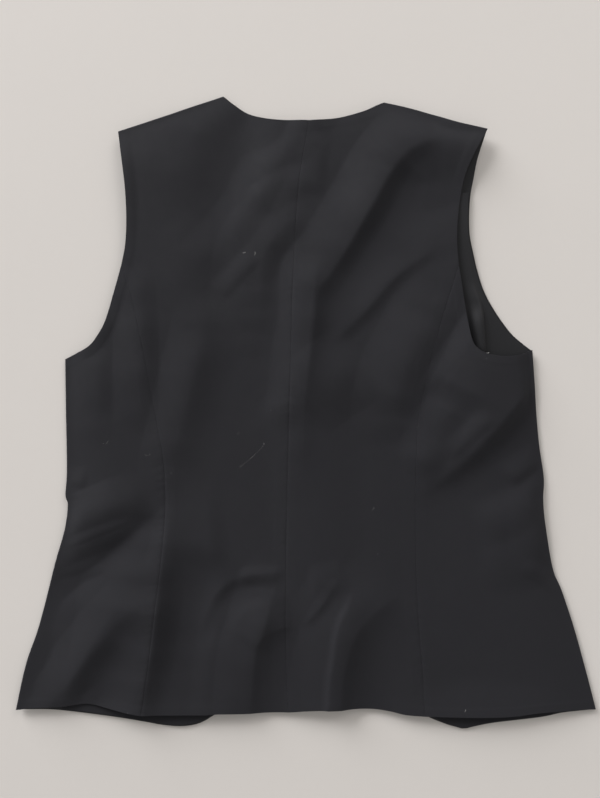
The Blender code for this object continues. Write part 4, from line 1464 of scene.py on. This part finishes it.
@dataclass
class Fronts:
    """The two fronts under the back, lapped at the centre front, with the linings and facings that show."""

    finishes: Finishes
    layers: Layers
    columns: int = 62
    rows: tuple[int, int] = (84, 60)
    lining_columns: int = 34
    lining_rows: int = 96
    facing_columns: int = 80
    facing_rows: int = 10

    def build(self) -> list[bpy.types.Object]:
        """Makes the fronts and what lies on them."""
        return [self.front(Side.LEFT), self.front(Side.RIGHT), self.armhole_lining(),
                self.hem_facing(Side.LEFT), self.hem_facing(Side.RIGHT)]

    def front(self, side: Side) -> bpy.types.Object:
        """Makes one front, from its free edge to its side seam.

        Args:
            side: Which of the two.

        Returns:
            The piece.
        """
        label = side.value
        turned, folded = EdgeStyle.TURNED, EdgeStyle.FOLDED_UNDER
        panel = Panel(
            f"front_panel_{label}",
            foot=sewn_edge((f"{label}_front_hem",), (self.columns,), turned),
            head=sewn_edge((f"{label}_front_shoulder",), (self.columns,), folded),
            start=sewn_edge((f"{label}_front_edge", f"{label}_vee"), self.rows, turned),
            end=sewn_edge((f"{label}_front_side", f"{label}_front_armhole"), self.rows, (folded, turned)),
            thickness=FRONT_THICKNESS, upper_face=self.finishes.lining, lower_face=self.finishes.suiting)
        if side is Side.LEFT:
            return panel.build(self.layers.left_front, "front_left", "suiting", ["front_panel_right"])
        return panel.build(self.layers.right_front, "front_right", "suiting", ["button_face_1"])

    def armhole_lining(self) -> bpy.types.Object:
        """Makes the lining that the gaping right armhole bares.

        Returns:
            The piece.
        """
        across, down = (self.lining_columns,), (self.lining_rows,)
        foot, head, start, end = (
            sewn_edge((f"lining_{edge}",), cells, EdgeStyle.FINE)
            for edge, cells in (("lower", across), ("upper", across), ("inner", down), ("outer", down)))
        panel = Panel("armhole_lining_right", foot, head, start, end, LINING_THICKNESS,
                      self.finishes.lining, self.finishes.lining)
        return panel.build(self.layers.lining, "front_lining_right", "lining", ["front_panel_right"])

    def hem_facing(self, side: Side) -> bpy.types.Object:
        """Makes the facing inside one point of the front hem.

        Args:
            side: Which of the two.

        Returns:
            The piece.
        """
        label = side.value
        foot, head = (sewn_edge((f"{label}_facing_{edge}",), (self.facing_columns,), EdgeStyle.FINE)
                      for edge in ("outer", "inner"))
        start, end = (self.facing_end(foot.points[k], head.points[k]) for k in (0, -1))
        panel = Panel(f"hem_facing_{label}", foot, head, start, end, LINING_THICKNESS,
                      self.finishes.suiting, self.finishes.suiting)
        return panel.build(lambda points: self.layers.facing(side, points), f"front_facing_{label}",
                           "suiting", [f"front_panel_{label}"])

    def facing_end(self, outer: np.ndarray, inner: np.ndarray) -> Edge:
        """The straight edge at one end of a facing."""
        shares = grid_shares(float(np.linalg.norm(inner - outer)), self.facing_rows)
        return Edge(outer + shares[:, None] * (inner - outer), [EdgeStyle.FINE] * (len(shares) - 1))


# ---------------------------------------------------------------- buttons, stitches and lint

def lay_threads(name: str, runs: Iterable[np.ndarray], radius: float, material: bpy.types.Material,
                sides: int = 1) -> bpy.types.Object:
    """Makes one piece of many thin threads.

    Args:
        name: The piece's name.
        runs: The points that each thread follows, in millimetres.
        radius: The thread's radius in millimetres.
        material: Its material.
        sides: The curve's bevel resolution.

    Returns:
        The piece, which rides on the garment's body.
    """
    curve = bpy.data.curves.new(name, "CURVE")
    curve.dimensions = "3D"
    curve.bevel_depth = radius * MM
    curve.bevel_resolution = sides
    curve.use_fill_caps = True
    curve.materials.append(material)
    for run in runs:
        spline = curve.splines.new("POLY")
        spline.points.add(len(run) - 1)
        spline.points.foreach_set("co", np.column_stack([run * MM, np.ones(len(run))]).ravel())
    piece = placed(name, curve)
    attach(piece, BODY)
    log.info("%s: %d threads", name, len(curve.splines))
    return piece


@dataclass
class Buttons:
    """Five turned buttons on the centre front line, face down under the right front, and their holes."""

    finishes: Finishes
    layers: Layers
    sides: int = 56
    rim: float = 2.0
    dish: float = 0.6
    chamfer: float = 0.6
    sharp_from: float = 40.0  # in degrees
    weld: float = 0.01
    thread_holes: int = 4
    hole_radius: float = 0.85
    hole_ring: float = 2.2
    hole_sides: int = 14
    thread_radius: float = 0.2
    strand_gap: float = 0.3
    slot_length: float = 18.0
    slot_overlap: float = 2.5
    slot_thread: float = 0.15
    stitch_spacing: float = 0.55
    stitch_start: float = 0.15
    stitch_length: float = 1.3
    stitch_bite: float = 0.12

    def build(self) -> list[bpy.types.Object]:
        """Makes the buttons, the threads that hold them and the buttonholes.

        Returns:
            The pieces.
        """
        mesh = self.turned_mesh()
        places = self.places()
        pieces = []
        for number, place in enumerate(places, start=1):
            button = placed(f"button_face_{number}", mesh)
            button.location = (place[0] * MM, place[1] * MM, 0)
            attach(button, BODY)
            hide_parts(f"button_{number}")
            pieces.append(button)
        log.info("buttons: %d, each of %d faces", len(pieces), len(mesh.polygons))
        stays = [run for place in places for run in self.stay(place)]
        slots = [run for place in places for run in self.worked_slot(place)]
        return [*pieces, lay_threads("button_threads", stays, self.thread_radius, self.finishes.thread),
                lay_threads("buttonholes", slots, self.slot_thread, self.finishes.thread, 0)]

    def places(self) -> list[np.ndarray]:
        """Places the middles of the buttons.

        Returns:
            Their points, from the top one down.
        """
        top, foot = np.array(CENTRE_FRONT_TOP), np.array(CENTRE_FRONT_FOOT)
        downs = [top[1] - TOP_BUTTON_ALONG + number * BUTTON_SPACING for number in range(BUTTON_COUNT)]
        return [top + down / (top[1] - foot[1]) * (foot - top) for down in downs]

    def profile(self) -> list[Place]:
        """Draws the button's section, from the middle of its back round its rim to the middle of its face.

        Returns:
            The points, as (from the middle, up).
        """
        radius, thick, corner = BUTTON_DIAMETER / 2, BUTTON_THICKNESS, self.chamfer
        bow = [(corner * math.sin(turn), corner * math.cos(turn)) for turn in np.linspace(0, math.pi / 2, 5)]
        dish = radius - self.rim
        return [(0, thick), *((radius - corner + a, thick - corner + b) for a, b in bow),
                *((radius - corner + a, corner - b) for a, b in reversed(bow)),
                (dish + self.dish, 0.0), (dish + self.dish * 0.5, self.dish * 0.3),
                (dish, self.dish * 0.85), (dish - self.dish, self.dish), (0, self.dish)]

    def turned_mesh(self) -> bpy.types.Mesh:
        """Turns the button's profile and drills its thread holes.

        Returns:
            The mesh that all the buttons share.
        """
        turned = bmesh.new()
        ring = [turned.verts.new((across * MM, 0, up * MM)) for across, up in self.profile()]
        for pair in zip(ring, ring[1:]):
            turned.edges.new(pair)
        bmesh.ops.spin(turned, geom=turned.verts[:] + turned.edges[:], cent=(0, 0, 0), axis=(0, 0, 1),
                       angle=math.tau, steps=self.sides, use_merge=True)
        bmesh.ops.remove_doubles(turned, verts=turned.verts[:], dist=self.weld * MM)
        bmesh.ops.recalc_face_normals(turned, faces=turned.faces)
        blank = self.temporary("button_blank", turned)
        cut = blank.modifiers.new("thread_holes", "BOOLEAN")
        cut.object = self.temporary("thread_drills", self.drills())
        bpy.context.view_layer.update()
        shown = blank.evaluated_get(bpy.context.evaluated_depsgraph_get())
        mesh = bpy.data.meshes.new_from_object(shown)
        for tool in (cut.object, blank):
            bpy.data.objects.remove(tool)
        mesh.name = "button_turned"
        mesh.materials.clear()
        mesh.materials.append(self.finishes.horn)
        mesh.shade_smooth()
        mesh.set_sharp_from_angle(angle=math.radians(self.sharp_from))
        return mesh

    def drills(self) -> bmesh.types.BMesh:
        """Makes the round bars that the thread holes are drilled with.

        Returns:
            Their shape.
        """
        drills = bmesh.new()
        for number in range(self.thread_holes):
            angle = math.tau * (number + 0.5) / self.thread_holes
            drill = bmesh.ops.create_cone(drills, cap_ends=True, segments=self.hole_sides,
                                          radius1=self.hole_radius * MM, radius2=self.hole_radius * MM,
                                          depth=3 * BUTTON_THICKNESS * MM)
            place = Vector((math.cos(angle), math.sin(angle), 0)) * self.hole_ring * MM
            bmesh.ops.translate(drills, verts=drill["verts"], vec=place)
        return drills

    def temporary(self, name: str, shape: bmesh.types.BMesh) -> bpy.types.Object:
        """Makes an object that is removed once the button is cut.

        Args:
            name: Its name.
            shape: Its shape, which is freed.

        Returns:
            The object.
        """
        mesh = bpy.data.meshes.new(name)
        shape.to_mesh(mesh)
        shape.free()
        return placed(name, mesh)

    def stay(self, place: np.ndarray) -> list[np.ndarray]:
        """Winds the two bars of thread across a button's face.

        Args:
            place: The button's middle.

        Returns:
            The run of each strand, whose ends go down into the holes.
        """
        reach = self.hole_ring / math.sqrt(2)
        level = self.dish - self.thread_radius
        spread = np.linspace(-1, 1, 7)
        ups = np.where(np.abs(spread) == 1, level + 1.0, level)
        return [np.column_stack([np.full(7, place[0] + across + shift), place[1] + spread * reach, ups])
                for across in (-reach, reach) for shift in (-self.strand_gap, 0.0, self.strand_gap)]

    def worked_slot(self, place: np.ndarray) -> list[np.ndarray]:
        """Works the stitches round one buttonhole, on the outer face of the right front.

        Args:
            place: The middle of the button that it holds.

        Returns:
            The run of each stitch.
        """
        level = self.layers.right_front(place[None])[0] - FRONT_THICKNESS
        bites = level + np.array([self.stitch_bite, 0.0, self.stitch_bite])
        steps = np.array([self.stitch_start, 0.4 * self.stitch_length, self.stitch_length])
        stitches = []
        for step in np.arange(0, self.slot_length, self.stitch_spacing):
            across = np.full(3, place[0] - self.slot_overlap + step)
            stitches += [np.column_stack([across, place[1] + way * steps, bites]) for way in (-1, 1)]
        spread = np.linspace(-1, 1, 5) * self.stitch_length
        for end in (-self.slot_overlap, self.slot_length - self.slot_overlap):
            stitches.append(np.column_stack([np.full(5, place[0] + end), place[1] + spread,
                                             np.full(5, level)]))
        return stitches


@dataclass
class SeamStitches:
    """The stitches that hold the back's seams, deep between the two panels."""

    finishes: Finishes
    layers: Layers
    spacing: float = 2.4
    half_width: float = 0.45
    half_slant: float = 0.2
    bow: float = 0.1
    depth: float = 0.42
    radius: float = 0.13

    def build(self) -> list[bpy.types.Object]:
        """Makes the stitches of the three seams."""
        return [self.seam(seam.line) for seam in SEAMS]

    def seam(self, name: str) -> bpy.types.Object:
        """Makes the stitches of one seam.

        Args:
            name: Its cutting line.

        Returns:
            The piece.
        """
        line = cutting_line(name)
        count = int(line_length(line) / self.spacing)
        places = along(line, (np.arange(count) + 0.5) / count)
        levels = self.layers.back(places) - self.depth
        stitch = np.array([(-self.half_width, -self.half_slant, 0), (0, 0, self.bow),
                           (self.half_width, self.half_slant, 0)])
        runs = [middle + stitch for middle in np.column_stack([places, levels])]
        return lay_threads(f"stitches_{name}", runs, self.radius, self.finishes.thread, 0)


@dataclass
class Lint:
    """Loose pale fibres that have settled on the black cloth.

    A row of specks or wisps holds the place (across, along), half the length and the turn in degrees.
    """

    finishes: Finishes
    layers: Layers
    speck_radius: float = 0.12
    wisp_radius: float = 0.02
    bend: float = 0.35  # how far a fibre's ends stand to one side, as a share of half its length
    specks: Sequence[tuple[float, float, float, float]] = (
        (-58.1, 148.2, 1.3, 10.0), (-47.8, 147.6, 1.5, 85.0), (168.2, 54.6, 1.3, 10.0),
        (148.4, -279.1, 1.1, 65.0),
    )
    wisps: Sequence[tuple[float, float, float, float]] = (
        (-63.6, -20.1, 1.6, 40.0), (-149.3, -40.8, 3.0, 5.0), (-187.9, -29.5, 3.2, 20.0),
        (62.6, -90.7, 1.8, 60.0), (62.9, -90.2, 1.2, -20.0), (104.6, -13.5, 1.6, 70.0),
    )
    curl: Sequence[Place] = ((-63.1, -52.1), (-57.0, -47.5), (-51.5, -43.0), (-46.6, -38.0), (-42.0, -33.4),
                             (-39.1, -28.5))

    def build(self) -> list[bpy.types.Object]:
        """Makes the specks, the wisps and the curl of thread.

        Returns:
            The two pieces.
        """
        specks = [self.fibre(*speck) for speck in self.specks]
        wisps = [self.on_cloth(smooth_line(self.curl)), *(self.fibre(*wisp) for wisp in self.wisps)]
        return [lay_threads("lint_specks", specks, self.speck_radius, self.finishes.lint),
                lay_threads("lint_wisps", wisps, self.wisp_radius, self.finishes.lint)]

    def on_cloth(self, line: Points) -> np.ndarray:
        """A line raised to lie on the back."""
        return np.column_stack([line, self.layers.back(line) + self.wisp_radius])

    def fibre(self, across: float, place_along: float, half_length: float, turn: float) -> np.ndarray:
        """Bends a short fibre and lays it on the back.

        Args:
            across: Where its middle is.
            place_along: The same, along the garment.
            half_length: Half its length.
            turn: Its turn, in degrees.

        Returns:
            Its run.
        """
        way = np.array([math.cos(math.radians(turn)), math.sin(math.radians(turn))])
        beside = np.array([-way[1], way[0]])
        steps = np.linspace(-1, 1, 6)[:, None]
        return self.on_cloth(np.array([across, place_along])
                             + half_length * (steps * way + self.bend * steps**2 * beside))


# ---------------------------------------------------------------- studio

@dataclass(frozen=True)
class Lamp:
    """A square soft light that faces the garment.

    Turn is measured in degrees from the neck's side towards the left, and rise from the floor. The rest is
    in metres and watts.
    """

    name: str
    turn: float
    rise: float
    distance: float
    size: float
    power: float
    colour: Colour

    def build(self) -> None:
        """Makes the light."""
        lamp = bpy.data.lights.new(self.name, "AREA")
        lamp.shape = "SQUARE"
        lamp.size = self.size
        lamp.energy = self.power
        lamp.color = self.colour
        turn, rise = math.radians(self.turn), math.radians(self.rise)
        way = Vector((-math.sin(turn) * math.cos(rise), math.cos(turn) * math.cos(rise), math.sin(rise)))
        holder = placed(self.name, lamp)
        holder.location = way * self.distance
        holder.rotation_euler = (-way).to_track_quat("-Z", "Y").to_euler()


@dataclass
class Studio:
    """A pale floor, soft light from the upper left and a camera straight above. Its sizes are in metres."""

    view_height: float = 0.7517
    view_across: float = -0.0061
    view_along: float = 0.0120
    view_level: float = 0.002
    lens: float = 35.0  # in millimetres, as is the sensor
    sensor: float = 36.0
    floor_half: float = 6.0
    floor_cells: int = 8
    lamps: Sequence[Lamp] = (
        Lamp("key_light", 40.0, 14.0, 13.0, 8.3, 3300.0, (0.985, 0.99, 1.0)),
        Lamp("fill_light", -32.0, 32.0, 6.0, 3.0, 90.0, (1.0, 0.98, 0.96)),
    )
    sky: float = 0.42
    sky_colour: Colour = (1.0, 0.99, 0.97)

    def build(self) -> None:
        """Makes the floor, the lights and the camera."""
        self.floor()
        for lamp in self.lamps:
            lamp.build()
        world = bpy.data.worlds.new("studio_world")
        world.use_nodes = True
        background = world.node_tree.nodes["Background"].inputs
        background["Color"].default_value = (*self.sky_colour, 1.0)
        background["Strength"].default_value = self.sky
        bpy.context.scene.world = world
        bpy.context.scene.view_settings.view_transform = "Standard"
        self.camera()

    def floor(self) -> None:
        """Makes the pale surface."""
        shape = bmesh.new()
        bmesh.ops.create_grid(shape, x_segments=self.floor_cells, y_segments=self.floor_cells,
                              size=self.floor_half)
        mesh = bpy.data.meshes.new("floor")
        shape.to_mesh(mesh)
        shape.free()
        mesh.materials.append(FLOOR.material())
        floor = placed("floor", mesh)
        floor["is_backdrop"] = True

    def camera(self) -> None:
        """Makes the camera, straight above the garment."""
        lens = bpy.data.cameras.new("camera")
        lens.lens = self.lens
        lens.sensor_width = self.sensor
        holder = placed("camera", lens)
        distance = self.view_height * self.lens / self.sensor
        holder.location = (self.view_across, self.view_along, distance + self.view_level)
        bpy.context.scene.camera = holder


def write_sizes() -> None:
    """Writes the solids' box and the dressed model's box.
    """
    boxes = {"cad": [list(corner) for corner in cad_box], "visual": [list(corner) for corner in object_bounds()]}
    for name, (low, high) in boxes.items():
        log.info("%s box: %s mm", name, " x ".join(f"{(b - a) / MM:.1f}" for a, b in zip(low, high)))


def main() -> None:
    """Builds the garment's sub-assemblies in order, then the studio."""
    logging.basicConfig(level=logging.INFO, format="%(name)s: %(message)s")
    finishes = Finishes.made()
    layers = Layers()
    for assembly in (Back(finishes, layers), Fronts(finishes, layers), Buttons(finishes, layers),
                     SeamStitches(finishes, layers), Lint(finishes, layers)):
        pieces = assembly.build()
        log.info("%s: %d pieces", type(assembly).__name__, len(pieces))
    Studio().build()
    bpy.context.view_layer.update()
    write_sizes()


if __name__ == "__main__":
    main()
